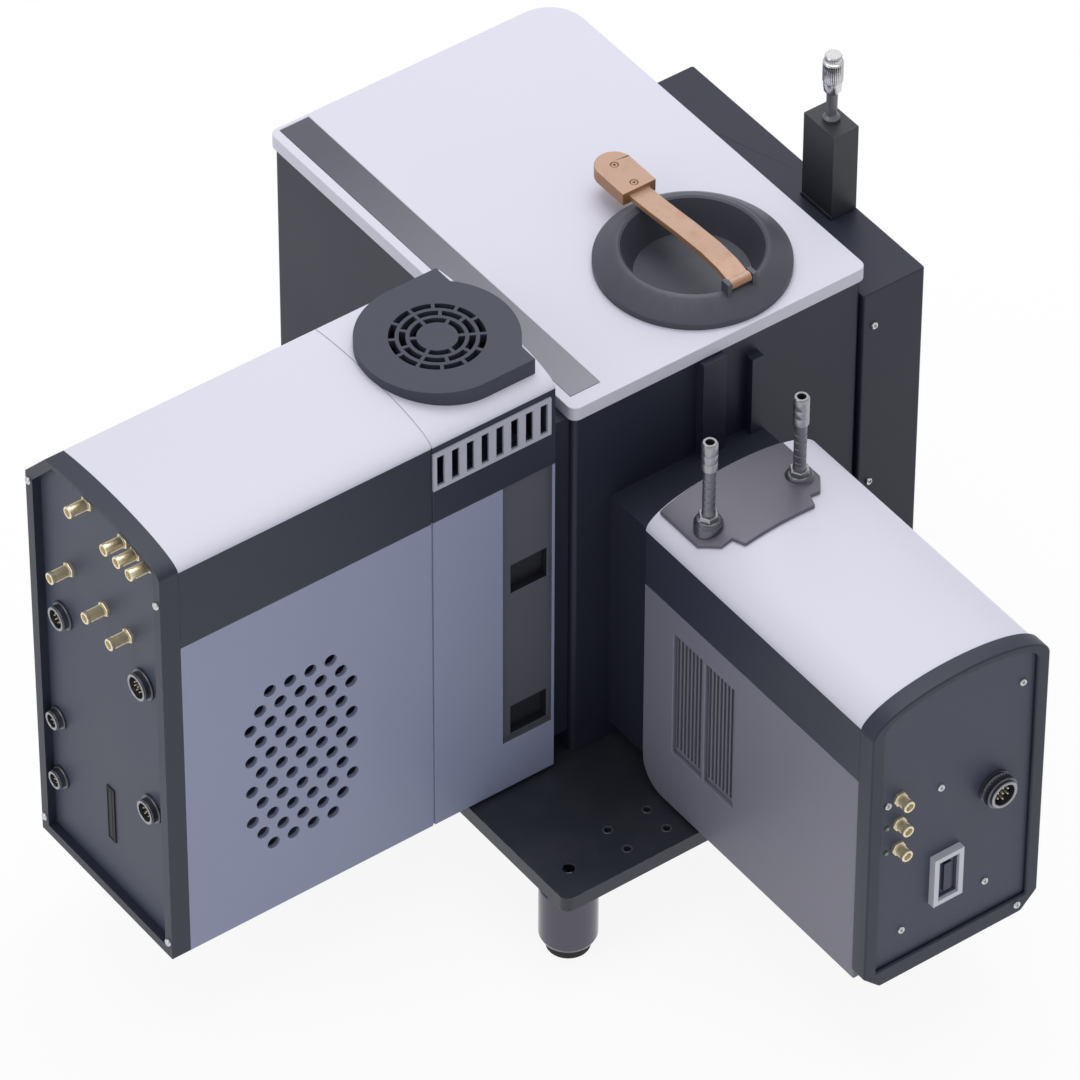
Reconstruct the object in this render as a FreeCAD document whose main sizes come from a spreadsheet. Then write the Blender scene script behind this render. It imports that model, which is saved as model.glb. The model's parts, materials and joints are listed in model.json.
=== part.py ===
import FreeCAD, Part
import math
import os
import re
import Sketcher

# An optical spectrometer on a levelled base plate: a spectrograph body with a grating turret
# under a lift-out cap, a slit module behind it, and two detector heads on its two exit ports.
# Plan view: +X runs along the long side of the body to the right-hand detector, the left-hand
# detector lies along -Y, and the slit module is on the +Y side. Heights count from the bench.

os.makedirs("parts", exist_ok=True)
doc = FreeCAD.newDocument("spectrometer")

# Driving sizes, in millimetres and degrees
SIZES = {
    # the spectrograph body and its cover
    "body_length": 315.0,
    "body_width": 221.0,
    "body_height": 287.0,
    "body_wall": 6.0,
    "body_floor": 8.0,
    "cover_sheet": 2.5,
    "cover_skirt": 10.0,
    "far_corner_round": 26.0,
    "corner_round": 6.0,
    "strip_width": 22.0,
    "strip_length": 301.0,
    "strip_edge": 6.5,
    "strip_start": 2.5,
    "strip_depth": 1.2,
    "strip_thickness": 1.0,
    "optical_height": 190.0,
    # the base plate and the levelling feet
    "plate_thick": 11.0,
    "plate_front": 256.6,
    "plate_back": 160.0,
    "plate_left": 187.3,
    "plate_right": 160.0,
    "plate_tap_radius": 2.5,
    "plate_tap_pitch_x": 20.0,
    "plate_tap_pitch_y": 30.0,
    "plate_tap_x": 232.0,
    "plate_tap_y": -115.0,
    "foot_height": 53.0,
    "foot_inset_x": 22.0,
    "foot_inset_y": 18.5,
    "foot_pad_radius": 14.0,
    "foot_pad_height": 6.0,
    "foot_barrel_radius": 18.5,
    "foot_barrel_round": 5.0,
    "foot_spigot_radius": 5.0,
    "foot_spigot_height": 9.0,
    "foot_travel": 6.0,
    "stud_radius": 4.0,
    # clearances
    "run_gap": 0.3,
    "pin_fit": 0.05,
    # the grating turret and its cap
    "cap_x": 92.9,
    "cap_y": 26.8,
    "cap_radius": 61.0,
    "cap_rim": 6.0,
    "cap_dome": 15.0,
    "bowl_radius": 44.0,
    "bowl_floor_radius": 36.0,
    "bowl_depth": 22.0,
    "bowl_skin": 3.0,
    "cover_hole_radius": 50.0,
    "lever_width": 15.0,
    "lever_thick": 4.0,
    "lever_pivot_x": 46.0,
    "lever_pivot_rise": 19.0,
    "lever_tab_rise": 14.0,
    "lever_hub_radius": 3.4,
    "lever_pin_radius": 1.6,
    "lever_tab_width": 25.0,
    "lever_tab_length": 38.0,
    "lever_tab_thick": 9.0,
    "lever_tab_end": 92.0,
    "lever_ear_thick": 3.0,
    "tab_screw_radius": 2.6,
    "tab_screw_pitch": 20.0,
    "turret_motor_radius": 35.0,
    "turret_motor_height": 40.0,
    "turret_post_radius": 6.0,
    "turret_height": 120.0,
    "turret_face": 22.0,
    "turret_round": 40.0,
    "grating_size": 52.0,
    "grating_thick": 6.0,
    # mirrors inside the body
    "mirror_radius": 30.0,
    "mirror_thick": 10.0,
    "mirror_curve": 400.0,
    "mirror_mount_thick": 9.0,
    "collimator_inset": 52.0,
    "focus_mirror_inset": 62.0,
    "fold_mirror_inset": 16.0,
    "fold_mirror_size": 28.0,
    "flat_mirror_thick": 4.0,
    "post_radius": 5.0,
    "exit_mirror_x": 75.0,
    "exit_mirror_y": -62.0,
    "exit_mirror_length": 44.0,
    "exit_mirror_height": 40.0,
    "exit_pin_radius": 2.5,
    # the slit module, the slit and its micrometer
    "module_length": 234.9,
    "module_depth": 45.1,
    "module_drop": 24.0,
    "module_wall": 4.0,
    "slit_x": 74.4,
    "slit_inset": 10.1,
    "column_length": 30.0,
    "column_depth": 19.0,
    "column_height": 65.5,
    "cartridge_depth": 16.0,
    "cartridge_drop": 40.0,
    "blade_thick": 3.4,
    "blade_height": 28.0,
    "blade_length": 18.0,
    "slit_opening": 0.5,
    "slit_travel": 1.5,
    "slit_bore_radius": 6.0,
    "port_radius": 12.5,
    "sleeve_radius": 3.5,
    "sleeve_height": 38.0,
    "spindle_radius": 2.0,
    "thimble_radius": 6.5,
    "thimble_height": 29.0,
    "thimble_lift": 22.5,
    "flange_radius": 32.0,
    "flange_thick": 8.0,
    "flange_pitch_radius": 24.0,
    "flange_hole_radius": 1.65,
    # the left detector, along -Y
    "left_centre": 89.75,
    "left_width": 139.3,
    "left_length": 283.8,
    "left_lift": 3.6,
    "left_panel_height": 250.7,
    "left_band_height": 60.4,
    "left_crown": 12.5,
    "left_front_length": 90.2,
    "left_bezel": 13.5,
    "left_panel_sink": 6.0,
    "left_shoulder_drop": 15.4,
    "left_shoulder_angle": 48.4,
    "left_adapter_length": 14.3,
    "left_adapter_width": 122.0,
    "left_adapter_drop": 13.0,
    "left_bore_radius": 30.0,
    "shell_wall": 3.0,
    "band_wall": 4.0,
    "window_inset": 7.0,
    "window_rise_inset": 3.5,
    "panel_thick": 3.0,
    "vent_hole_radius": 4.4,
    "vent_hole_pitch": 14.6,
    "vent_hole_y": 186.5,
    "vent_hole_z": 118.0,
    "bay_inset": 2.0,
    "bay_length": 36.5,
    "bay_rise": 39.0,
    "bay_depth": 4.0,
    "pocket_inset": 3.0,
    "pocket_length": 27.0,
    "pocket_height": 23.0,
    "pocket_depth": 6.0,
    "pocket_middle": 51.7,
    "pocket_pitch": 117.5,
    "shell_seam_width": 1.4,
    "shell_seam_depth": 1.2,
    "seam_width": 0.8,
    "seam_depth": 0.8,
    "grille_length": 86.0,
    "grille_height": 29.0,
    "grille_thick": 1.5,
    "grille_slot_width": 5.4,
    "grille_slot_height": 23.0,
    "grille_inset": 4.0,
    "grille_drop": 4.6,
    "fan_offset_x": 8.3,
    "fan_from_front": 41.7,
    "fan_pad_radius": 50.0,
    "fan_pad_rise": 6.0,
    "fan_pad_setback": 6.7,
    "grille_ring_inner": 12.5,
    "grille_ring_width": 4.0,
    "grille_ring_pitch": 6.4,
    "fan_opening_radius": 31.0,
    "fan_frame_size": 74.0,
    "fan_frame_depth": 18.0,
    "fan_bore_radius": 33.0,
    "fan_rotor_radius": 31.5,
    "fan_hub_radius": 14.0,
    "fan_rotor_height": 10.0,
    "fan_shaft_radius": 2.0,
    "left_sensor_radius": 34.0,
    "left_sensor_length": 80.0,
    "glass_radius": 20.0,
    "glass_thick": 3.0,
    # the right detector, along +X
    "right_centre": -24.65,
    "right_width": 127.9,
    "right_length": 224.0,
    "right_lift": 3.7,
    "right_panel_height": 164.4,
    "right_band_height": 43.4,
    "right_crown": 20.0,
    "right_bezel": 13.0,
    "right_bezel_swell": 2.0,
    "right_bezel_cut": 12.0,
    "right_panel_inset": 3.0,
    "right_panel_lap": 3.0,
    "right_adapter_length": 44.3,
    "right_adapter_inset": 8.5,
    "right_adapter_top": 10.5,
    "right_bore_radius": 18.0,
    "right_shell_round": 20.0,
    "clamp_thick": 7.0,
    "clamp_gap": 1.0,
    "wide_clamp_offset": 16.95,
    "wide_clamp_width": 17.0,
    "slim_clamp_offset": 49.55,
    "slim_clamp_width": 8.5,
    "slim_clamp_drop": 14.8,
    "vent_start": 29.0,
    "vent_length": 29.0,
    "vent_bar": 2.5,
    "vent_height": 99.0,
    "vent_bottom": 46.0,
    "vent_plate_thick": 2.0,
    "shutter_slot": 5.0,
    "shutter_thick": 2.5,
    "shutter_disc_radius": 21.0,
    "shutter_arm_y": 30.35,
    "shutter_arm_z": 40.0,
    "shutter_pin_radius": 2.0,
    "right_sensor_radius": 32.0,
    "right_sensor_length": 90.0,
    "coolant_plate_thick": 3.0,
    "coolant_plate_length": 58.0,
    "coolant_plate_half": 46.0,
    "coolant_plate_start": 2.0,
    "barb_from_front": 34.0,
    "barb_middle": -9.35,
    "barb_spacing": 68.0,
    "barb_height": 86.0,
    "barb_radius": 4.0,
    "barb_head_radius": 5.0,
    "barb_head_length": 21.2,
    "barb_base_radius": 9.0,
    "barb_base_height": 25.0,
    # connectors and screws
    "coax_radius": 4.0,
    "coax_length": 15.0,
    "short_coax_length": 10.0,
    "coax_bore": 2.6,
    "socket_radius": 9.0,
    "socket_length": 6.0,
    "power_socket_radius": 11.5,
    "power_socket_length": 11.0,
    "data_socket_width": 22.0,
    "data_socket_height": 39.0,
    "data_socket_depth": 5.0,
    "data_socket_wall": 3.5,
    "screw_radius": 2.6,
    "screw_head": 1.5,
}

# Places worked out from the driving sizes
PLACES = {
    "plate_top": "foot_height + plate_thick",
    "cover_top": "plate_top + body_height",
    "half_length": "body_length / 2",
    "half_width": "body_width / 2",
    "case_x": "half_length - cover_sheet",
    "case_y": "half_width - cover_sheet",
    "inner_x": "case_x - body_wall",
    "inner_y": "case_y - body_wall",
    "collimator_y": "inner_y - collimator_inset",
    "focus_mirror_y": "focus_mirror_inset - inner_y",
    "fold_mirror_y": "inner_y - fold_mirror_inset",
    "case_top": "cover_top - cover_sheet",
    "floor_top": "plate_top + body_floor",
    "module_top": "cover_top - module_drop",
    "module_end": "half_width + module_depth",
    "slit_y": "module_end - slit_inset",
    "column_top": "module_top + column_height",
    "left_front": "half_width + left_adapter_length",
    "left_rear": "left_front + left_length",
    "left_base": "plate_top + left_lift",
    "left_band": "left_base + left_panel_height",
    "left_spring": "left_band + left_band_height",
    "left_top": "left_spring + left_crown",
    "left_half": "left_width / 2",
    "left_shell_end": "left_rear - left_bezel",
    "left_panel_y": "left_rear - left_panel_sink",
    "right_front": "half_length + right_adapter_length",
    "right_rear": "right_front + right_length",
    "right_base": "plate_top + right_lift",
    "right_band": "right_base + right_panel_height",
    "right_spring": "right_band + right_band_height",
    "right_top": "right_spring + right_crown",
    "right_half": "right_width / 2",
    "right_shell_end": "right_rear - right_bezel",
    "right_panel_x": "right_rear - right_panel_inset",
    "fan_x": "left_centre + fan_offset_x",
    "fan_y": "0 - left_front - fan_from_front",
    "centre_x": "(right_panel_x + power_socket_length - plate_back) / 2",
    "centre_y": "(module_end + flange_thick - left_panel_y - coax_length) / 2",
}

sheet = doc.addObject("Spreadsheet::Sheet", "Sizes")
for row, (word, amount) in enumerate(SIZES.items(), start=1):
    sheet.set("A%d" % row, word)
    sheet.set("B%d" % row, str(amount))
    sheet.setAlias("B%d" % row, word)
for row, (word, formula) in enumerate(PLACES.items(), start=1):
    sheet.set("D%d" % row, word)
    sheet.set("E%d" % row, "=" + formula)
    sheet.setAlias("E%d" % row, word)
doc.recompute()

WORDS = set(SIZES) | set(PLACES)
PLANES = {"x": "YZ_Plane", "y": "XZ_Plane", "z": "XY_Plane"}
X_AXIS = FreeCAD.Vector(1, 0, 0)
Y_AXIS = FreeCAD.Vector(0, 1, 0)
Z_AXIS = FreeCAD.Vector(0, 0, 1)
# Turns that lay a piece made along Z along another axis
TURNS = {
    "z": FreeCAD.Rotation(),
    "x": FreeCAD.Rotation(Y_AXIS, 90),
    "y": FreeCAD.Rotation(X_AXIS, -90),
    "-y": FreeCAD.Rotation(X_AXIS, 90),
}
nodes = []


def size(word):
    """A number from the sheet."""
    return float(sheet.get(word))


def linked(formula):
    """The formula with each size name read from the sheet."""
    return re.sub(r"[a-z][a-z_]+", lambda word: "Sizes." + word.group()
                  if word.group() in WORDS else word.group(), formula)


def bind(item, **formulas):
    """Tie properties to the sheet; a double underscore stands for a dot."""
    for prop, formula in formulas.items():
        item.setExpression(prop.replace("__", "."), linked(formula))
    return item


def place(item, x, y, z):
    return bind(item, Placement__Base__x=x, Placement__Base__y=y, Placement__Base__z=z)


def block(name, x, y, z, length, width, height, yaw=0.0):
    """A box from its low corner, turned about that corner by yaw."""
    item = doc.addObject("Part::Box", name)
    item.Placement = FreeCAD.Placement(FreeCAD.Vector(), FreeCAD.Rotation(Z_AXIS, yaw))
    bind(item, Length=length, Width=width, Height=height)
    return place(item, x, y, z)


def slab(name, low, high):
    """A box between two corners."""
    spans = ["(%s) - (%s)" % (top, bottom) for bottom, top in zip(low, high)]
    return block(name, *low, *spans)


def rod(name, x, y, z, radius, length, axis="z"):
    """A cylinder that starts at a point and runs along +X, +Y or +Z."""
    item = doc.addObject("Part::Cylinder", name)
    item.Placement = FreeCAD.Placement(FreeCAD.Vector(), TURNS[axis])
    bind(item, Radius=radius, Height=length)
    return place(item, x, y, z)


def joined(name, *items):
    item = doc.addObject("Part::MultiFuse", name)
    item.Shapes = list(items)
    item.Refine = True
    return item


def without(name, base, *tools):
    item = doc.addObject("Part::Cut", name)
    item.Base = base
    item.Tool = tools[0] if len(tools) == 1 else joined(name + "_cuts", *tools)
    return item


def shared(name, *items):
    item = doc.addObject("Part::MultiCommon", name)
    item.Shapes = list(items)
    return item


def grouped(name, *items):
    item = doc.addObject("Part::Compound", name)
    item.Links = list(items)
    return item


def along(edge, axis):
    """True for a straight edge that is parallel to the axis."""
    if len(edge.Vertexes) < 2 or edge.Curve.TypeId != "Part::GeomLine":
        return False
    return abs(abs(edge.tangentAt(edge.FirstParameter).dot(axis)) - 1) < 1e-6


def rounded(name, base, axis, radius, special=None, special_radius=None):
    """The base with its edges along an axis rounded; special picks edges with their own radius."""
    doc.recompute()
    item = doc.addObject("Part::Fillet", name)
    item.Base = base
    edges = []
    for number, edge in enumerate(base.Shape.Edges, start=1):
        if along(edge, axis):
            picked = special is not None and special(edge.CenterOfMass)
            amount = special_radius if picked else radius
            if amount > 0:
                edges.append((number, amount, amount))
    item.Edges = edges
    return item


def sketch_on(body, name, plane, points):
    """A closed outline of straight lines whose corners are tied to the sheet."""
    sketch = body.newObject("Sketcher::SketchObject", name)
    origin = [item for item in body.Origin.OriginFeatures if item.Role == PLANES[plane]][0]
    sketch.AttachmentSupport = (origin, [""])
    sketch.MapMode = "FlatFace"
    count = len(points)
    ring = [FreeCAD.Vector(math.cos(2 * math.pi * n / count), math.sin(2 * math.pi * n / count), 0)
            for n in range(count)]
    for n in range(count):
        sketch.addGeometry(Part.LineSegment(ring[n], ring[(n + 1) % count]))
    for n in range(count):
        sketch.addConstraint(Sketcher.Constraint("Coincident", n, 2, (n + 1) % count, 1))
    for n, formulas in enumerate(points):
        for kind, formula, start in zip(("DistanceX", "DistanceY"), formulas, (ring[n].x, ring[n].y)):
            index = sketch.addConstraint(Sketcher.Constraint(kind, n, 1, start))
            word = "%s_%d" % (kind, n)
            sketch.renameConstraint(index, word)
            sketch.setExpression("Constraints." + word, linked(formula))
    return sketch


def turned(name, points, x, y, z, axis="z"):
    """A turned piece: points give radius and height along its own axis."""
    body = doc.addObject("PartDesign::Body", name)
    sketch = sketch_on(body, name + "_profile", "y", points)
    turn = body.newObject("PartDesign::Revolution", name + "_turn")
    turn.Profile = sketch
    turn.ReferenceAxis = (sketch, ["V_Axis"])
    turn.Angle = 360
    body.Placement = FreeCAD.Placement(FreeCAD.Vector(), TURNS[axis])
    return place(body, x, y, z)


def padded(name, plane, points, start, depth):
    """A straight-sided piece: a drawn outline on an origin plane, raised by depth from start."""
    body = doc.addObject("PartDesign::Body", name)
    sketch = sketch_on(body, name + "_outline", plane, points)
    pad = body.newObject("PartDesign::Pad", name + "_pad")
    pad.Profile = sketch
    pad.SideType = "One side"
    pad.Reversed = plane == "y"
    bind(pad, Length=depth)
    spot = {"x": (start, "0", "0"), "y": ("0", start, "0"), "z": ("0", "0", start)}[plane]
    return place(body, *spot)


def crown(name, axis, centre, spring, half, rise, start, length):
    """A lying elliptical cylinder: the curved roof form of a detector."""
    oval = doc.addObject("Part::Ellipse", name + "_oval")
    turns = {"y": FreeCAD.Rotation(X_AXIS, 90), "x": FreeCAD.Rotation(FreeCAD.Vector(1, 1, 1), 120)}
    oval.Placement = FreeCAD.Placement(FreeCAD.Vector(), turns[axis])
    bind(oval, MajorRadius=half, MinorRadius=rise)
    if axis == "y":
        place(oval, centre, start, spring)
    else:
        place(oval, start, centre, spring)
    item = doc.addObject("Part::Extrusion", name)
    item.Base = oval
    item.DirMode = "Custom"
    item.Dir = Y_AXIS if axis == "y" else X_AXIS
    item.Solid = True
    return bind(item, LengthFwd=length)


def arched(name, axis, centre, base, spring, half, rise, start, length):
    """An upright box with a curved roof, as each detector has."""
    roof = crown(name + "_roof", axis, centre, spring, half, rise, start, length)
    side, span = "(%s) - (%s)" % (centre, half), "2 * (%s)" % half
    height = "(%s) - (%s)" % (spring, base)
    if axis == "y":
        walls = block(name + "_walls", side, start, base, span, length, height)
    else:
        walls = block(name + "_walls", start, side, base, length, span, height)
    return joined(name, walls, roof)


def loose(name, shape):
    """A shape made in code from the same sizes."""
    item = doc.addObject("Part::Feature", name)
    item.Shape = shape
    return item


def node(label, item):
    """Finish a sub-part: its label, and its shift to the frame whose origin is under the middle."""
    item.Label = label
    spots = {path.lstrip("."): formula for path, formula in item.ExpressionEngine}
    for axis in "xy":
        path = "Placement.Base." + axis
        spot = spots.get(path, "%.4f" % getattr(item.Placement.Base, axis))
        item.setExpression(path, "(%s) - Sizes.centre_%s" % (spot, axis))
    nodes.append(item)


# The base plate, with tapped holes for accessories and a hole for each foot's stud
FEET = {
    "front_left": ("plate_front - foot_inset_x", "foot_inset_y - plate_left"),
    "front_right": ("plate_front - foot_inset_x", "plate_right - foot_inset_y"),
    "back_left": ("foot_inset_x - plate_back", "foot_inset_y - plate_left"),
    "back_right": ("foot_inset_x - plate_back", "plate_right - foot_inset_y"),
}
plate_blank = slab("plate_blank", ("0 - plate_back", "0 - plate_left", "foot_height"),
                   ("plate_front", "plate_right", "plate_top"))
plate_round = rounded("plate_round", plate_blank, Z_AXIS, size("corner_round"))
plate_holes = [rod("plate_stud_hole_" + corner, x, y, "foot_height",
                   "stud_radius + pin_fit", "plate_thick")
               for corner, (x, y) in FEET.items()]
for side_x in (-1, 1):
    for side_y in (-1, 1):
        plate_holes.append(rod("plate_tap", "plate_tap_x + %d * plate_tap_pitch_x / 2" % side_x,
                               "plate_tap_y + %d * plate_tap_pitch_y / 2" % side_y, "foot_height",
                               "plate_tap_radius", "plate_thick"))
node("base_plate", without("plate_cut", plate_round, *plate_holes))


def levelling_foot(corner, x, y):
    """A rubber pad with a spigot, and the chromed barrel with its stud that turns on it."""
    pad = turned("pad_" + corner, [
        ("0", "0"), ("foot_pad_radius", "0"), ("foot_pad_radius", "foot_pad_height"),
        ("foot_spigot_radius", "foot_pad_height"),
        ("foot_spigot_radius", "foot_pad_height + foot_spigot_height"),
        ("0", "foot_pad_height + foot_spigot_height")], x, y, "0")
    low, lip, bend = "foot_pad_height + run_gap", "2", "foot_barrel_round"
    top = "foot_height - run_gap"
    bore, roof = "foot_spigot_radius + pin_fit", "foot_pad_height + foot_spigot_height + run_gap"
    barrel = turned("barrel_" + corner, [
        (bore, low), ("foot_barrel_radius - " + bend, low),
        ("foot_barrel_radius - 0.3 * " + bend, low + " + 0.3 * " + bend),
        ("foot_barrel_radius", low + " + " + bend),
        ("foot_barrel_radius", "%s - %s" % (top, lip)), ("foot_barrel_radius - " + lip, top),
        ("stud_radius", top), ("stud_radius", "plate_top - run_gap"),
        ("0", "plate_top - run_gap"), ("0", roof), (bore, roof)], x, y, "0")
    node("foot_pad_" + corner, pad)
    node("foot_barrel_" + corner, barrel)


for corner, (x, y) in FEET.items():
    levelling_foot(corner, x, y)


def far_corner(point):
    """The one plan corner of the body that is well rounded."""
    return point.x < 0 and point.y > 0


def body_form(name, inset, low, high):
    """The body's plan outline, set in on every side, between two heights."""
    x, y = "half_length - (%s)" % inset, "half_width - (%s)" % inset
    form = slab(name + "_form", ("0 - (%s)" % x, "0 - (%s)" % y, low), (x, y, high))
    doc.recompute()
    gap = size("half_length") - form.Length.Value / 2
    return rounded(name, form, Z_AXIS, max(size("corner_round") - gap, 0.0), far_corner,
                   size("far_corner_round") - gap)


# The body's case: an open-topped box with one port to each detector and one to the slit
case_outer = body_form("case_outer", "cover_sheet", "plate_top", "case_top")
case_inner = body_form("case_inner", "cover_sheet + body_wall", "floor_top", "case_top + 1")
left_port = rod("case_left_port", "left_centre", "0 - case_y - 1", "optical_height",
                "left_bore_radius", "body_wall + 2", "y")
right_port = rod("case_right_port", "inner_x - 1", "right_centre", "optical_height",
                 "right_bore_radius", "body_wall + 2", "x")
slit_port = rod("case_slit_port", "slit_x", "inner_y - 1", "optical_height",
                "port_radius", "body_wall + 2", "y")
node("body_case", without("case_cut", case_outer, case_inner, left_port, right_port, slit_port))

# The folded top cover, with a round hole under the cap and a shallow bed for the label strip
cover_outer = body_form("cover_outer", "0", "cover_top - cover_skirt", "cover_top")
cover_inner = body_form("cover_inner", "cover_sheet", "cover_top - cover_skirt - 1", "case_top")
cover_hole = rod("cover_hole", "cap_x", "cap_y", "case_top - 1", "cover_hole_radius", "cover_sheet + 2")
strip_bed = block("strip_bed", "strip_start - half_length", "strip_edge - half_width",
                  "cover_top - strip_depth", "strip_length", "strip_width", "strip_depth + 1")
node("top_cover", without("cover_cut", cover_outer, cover_inner, cover_hole, strip_bed))

strip = block("strip", "strip_start - half_length + run_gap", "strip_edge - half_width + run_gap",
              "cover_top - strip_depth", "strip_length - 2 * run_gap",
              "strip_width - 2 * run_gap", "strip_thickness")
node("label_strip", strip)

# The turret cap: a domed rim around a deep bowl, with two ears and a pin for the lift lever
bowl_floor = "cap_dome - bowl_depth"
cap_turning = turned("cap_turning", [
    ("0", bowl_floor + " - bowl_skin"), ("bowl_floor_radius + bowl_skin", bowl_floor + " - bowl_skin"),
    ("bowl_radius + bowl_skin", "0"), ("cap_radius", "0"), ("cap_radius", "cap_rim - 1.5"),
    ("cap_radius - 1.5", "cap_rim"), ("bowl_radius + 5", "cap_dome - 0.8"),
    ("bowl_radius + 1.5", "cap_dome"), ("bowl_radius", "cap_dome - 1"),
    ("bowl_floor_radius", bowl_floor), ("0", bowl_floor)], "cap_x", "cap_y", "cover_top")
pivot_x, pivot_z = "cap_x + lever_pivot_x", "cover_top + lever_pivot_rise"
ear_gap = "lever_width / 2 + run_gap"
ears = []
for side in (-1, 1):
    low_y = "cap_y + " + ear_gap if side > 0 else "cap_y - %s - lever_ear_thick" % ear_gap.replace("+", "-")
    ears.append(block("ear", pivot_x + " - lever_hub_radius", low_y, "cover_top + cap_dome - 4",
                      "2 * lever_hub_radius", "lever_ear_thick",
                      "lever_pivot_rise - cap_dome + 4 + lever_hub_radius"))
lever_pin = rod("lever_pin", pivot_x, "cap_y - lever_width / 2 - run_gap - lever_ear_thick", pivot_z,
                "lever_pin_radius", "lever_width + 2 * run_gap + 2 * lever_ear_thick", "y")
node("turret_cap", joined("cap_done", cap_turning, *ears, lever_pin))

# The lift lever: an arched strap across the bowl that ends in a thick finger tab with two screws
STRAP = [(-1.174, 0.926), (-0.737, 0.995), (-0.150, 1.142), (0.393, 1.221), (0.739, 1.168), (1.0, 1.0)]
strap_top, strap_low = [
    [("cap_x + %.3f * lever_pivot_x" % x,
      "cover_top + %.3f * lever_pivot_rise %s lever_thick / 2" % (z, sign)) for x, z in STRAP]
    for sign in "+-"]
strap = padded("strap", "y", strap_top + strap_low[::-1], "cap_y - lever_width / 2", "lever_width")
lever_hub = rod("lever_hub", pivot_x, "cap_y - lever_width / 2", pivot_z,
                "lever_hub_radius", "lever_width", "y")
tab_low = "cover_top + lever_tab_rise"
tab_end = "cap_x - lever_tab_end + lever_tab_width / 2"
tab_block = block("tab_block", tab_end, "cap_y - lever_tab_width / 2", tab_low,
                  "lever_tab_length - lever_tab_width / 2", "lever_tab_width", "lever_tab_thick")
tab_nose = rod("tab_nose", tab_end, "cap_y", tab_low, "lever_tab_width / 2", "lever_tab_thick")
lever_bore = rod("lever_bore", pivot_x, "cap_y - lever_width", pivot_z,
                 "lever_pin_radius + pin_fit", "2 * lever_width", "y")
tab_screws = [rod("tab_screw", tab_end + " + %d * tab_screw_pitch" % n, "cap_y",
                  tab_low + " + lever_tab_thick - 1.2", "tab_screw_radius", "3") for n in (0, 1)]
lever_form = joined("lever_form", strap, lever_hub, tab_block, tab_nose)
node("cap_lever", without("lever_cut", lever_form, lever_bore, *tab_screws))

# The grating turret: a three-sided block with a ruled grating on each face, on a fixed post
motor = rod("motor", "cap_x", "cap_y", "floor_top", "turret_motor_radius", "turret_motor_height")
motor_post = rod("motor_post", "cap_x", "cap_y", "floor_top", "turret_post_radius",
                 "turret_motor_height + turret_height - 10")
node("turret_drive", joined("turret_drive_done", motor, motor_post))

turret_low = "floor_top + turret_motor_height + run_gap"
turret_corners = [("cap_x + 2 * turret_face * cos(%d deg)" % angle,
                   "cap_y + 2 * turret_face * sin(%d deg)" % angle) for angle in (30, 150, 270)]
turret_prism = padded("turret_prism", "z", turret_corners, turret_low, "turret_height")
turret_limit = rod("turret_limit", "cap_x", "cap_y", turret_low, "turret_round", "turret_height")
turret_bore = rod("turret_bore", "cap_x", "cap_y", turret_low + " - 1",
                  "turret_post_radius + pin_fit", "turret_height - 8")
turret_block = shared("turret_block", turret_prism, turret_limit)
node("grating_turret", without("turret_cut", turret_block, turret_bore))

plates = []
for angle in (90, 210, 330):
    plate = Part.makeBox(size("grating_size"), size("grating_thick"), size("grating_size"),
                         FreeCAD.Vector(-size("grating_size") / 2, size("turret_face"), 0))
    plate.rotate(FreeCAD.Vector(), Z_AXIS, angle - 90)
    plate.translate(FreeCAD.Vector(size("cap_x"), size("cap_y"),
                                   size("optical_height") - size("grating_size") / 2))
    plates.append(plate)
node("gratings", loose("grating_plates", Part.makeCompound(plates)))

# Mirrors: two concave ones on the back wall, one flat fold mirror, one that swings out of the way
wall_x = "0 - inner_x"
mount_top = "optical_height + mirror_radius + 6 - floor_top"


def concave_mirror(label, y):
    disc = rod(label + "_disc", wall_x + " + mirror_mount_thick", y, "optical_height",
               "mirror_radius", "mirror_thick", "x")
    hollow = doc.addObject("Part::Sphere", label + "_hollow")
    bind(hollow, Radius="mirror_curve")
    place(hollow, wall_x + " + mirror_mount_thick + mirror_thick - 1.2 + mirror_curve", y,
          "optical_height")
    node(label, without(label + "_cut", disc, hollow))
    return block(label + "_mount", wall_x, "(%s) - mirror_radius" % y, "floor_top",
                 "mirror_mount_thick", "2 * mirror_radius", mount_top)


mounts = [concave_mirror("collimating_mirror", "collimator_y"),
          concave_mirror("focusing_mirror", "focus_mirror_y")]
fold_low = "optical_height - fold_mirror_size / 2"
mounts.append(rod("fold_post", "slit_x", "fold_mirror_y", "floor_top", "post_radius",
                  fold_low + " - floor_top"))
swing_low = "optical_height - exit_mirror_height / 2"
mounts.append(rod("swing_post", "exit_mirror_x", "exit_mirror_y", "floor_top", "post_radius",
                  swing_low + " - run_gap - floor_top"))
swing_pin = rod("swing_pin", "exit_mirror_x", "exit_mirror_y", "floor_top", "exit_pin_radius",
                "optical_height + exit_mirror_height / 2 - 4 - floor_top")
node("mirror_mounts", joined("mirror_mounts_done", *mounts, swing_pin))

half_fold = "fold_mirror_size / 2 * cos(45 deg)"
fold = block("fold", "slit_x - (%s)" % half_fold, "fold_mirror_y - (%s)" % half_fold, fold_low,
             "fold_mirror_size", "flat_mirror_thick", "fold_mirror_size", yaw=45)
node("fold_mirror", fold)

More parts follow.
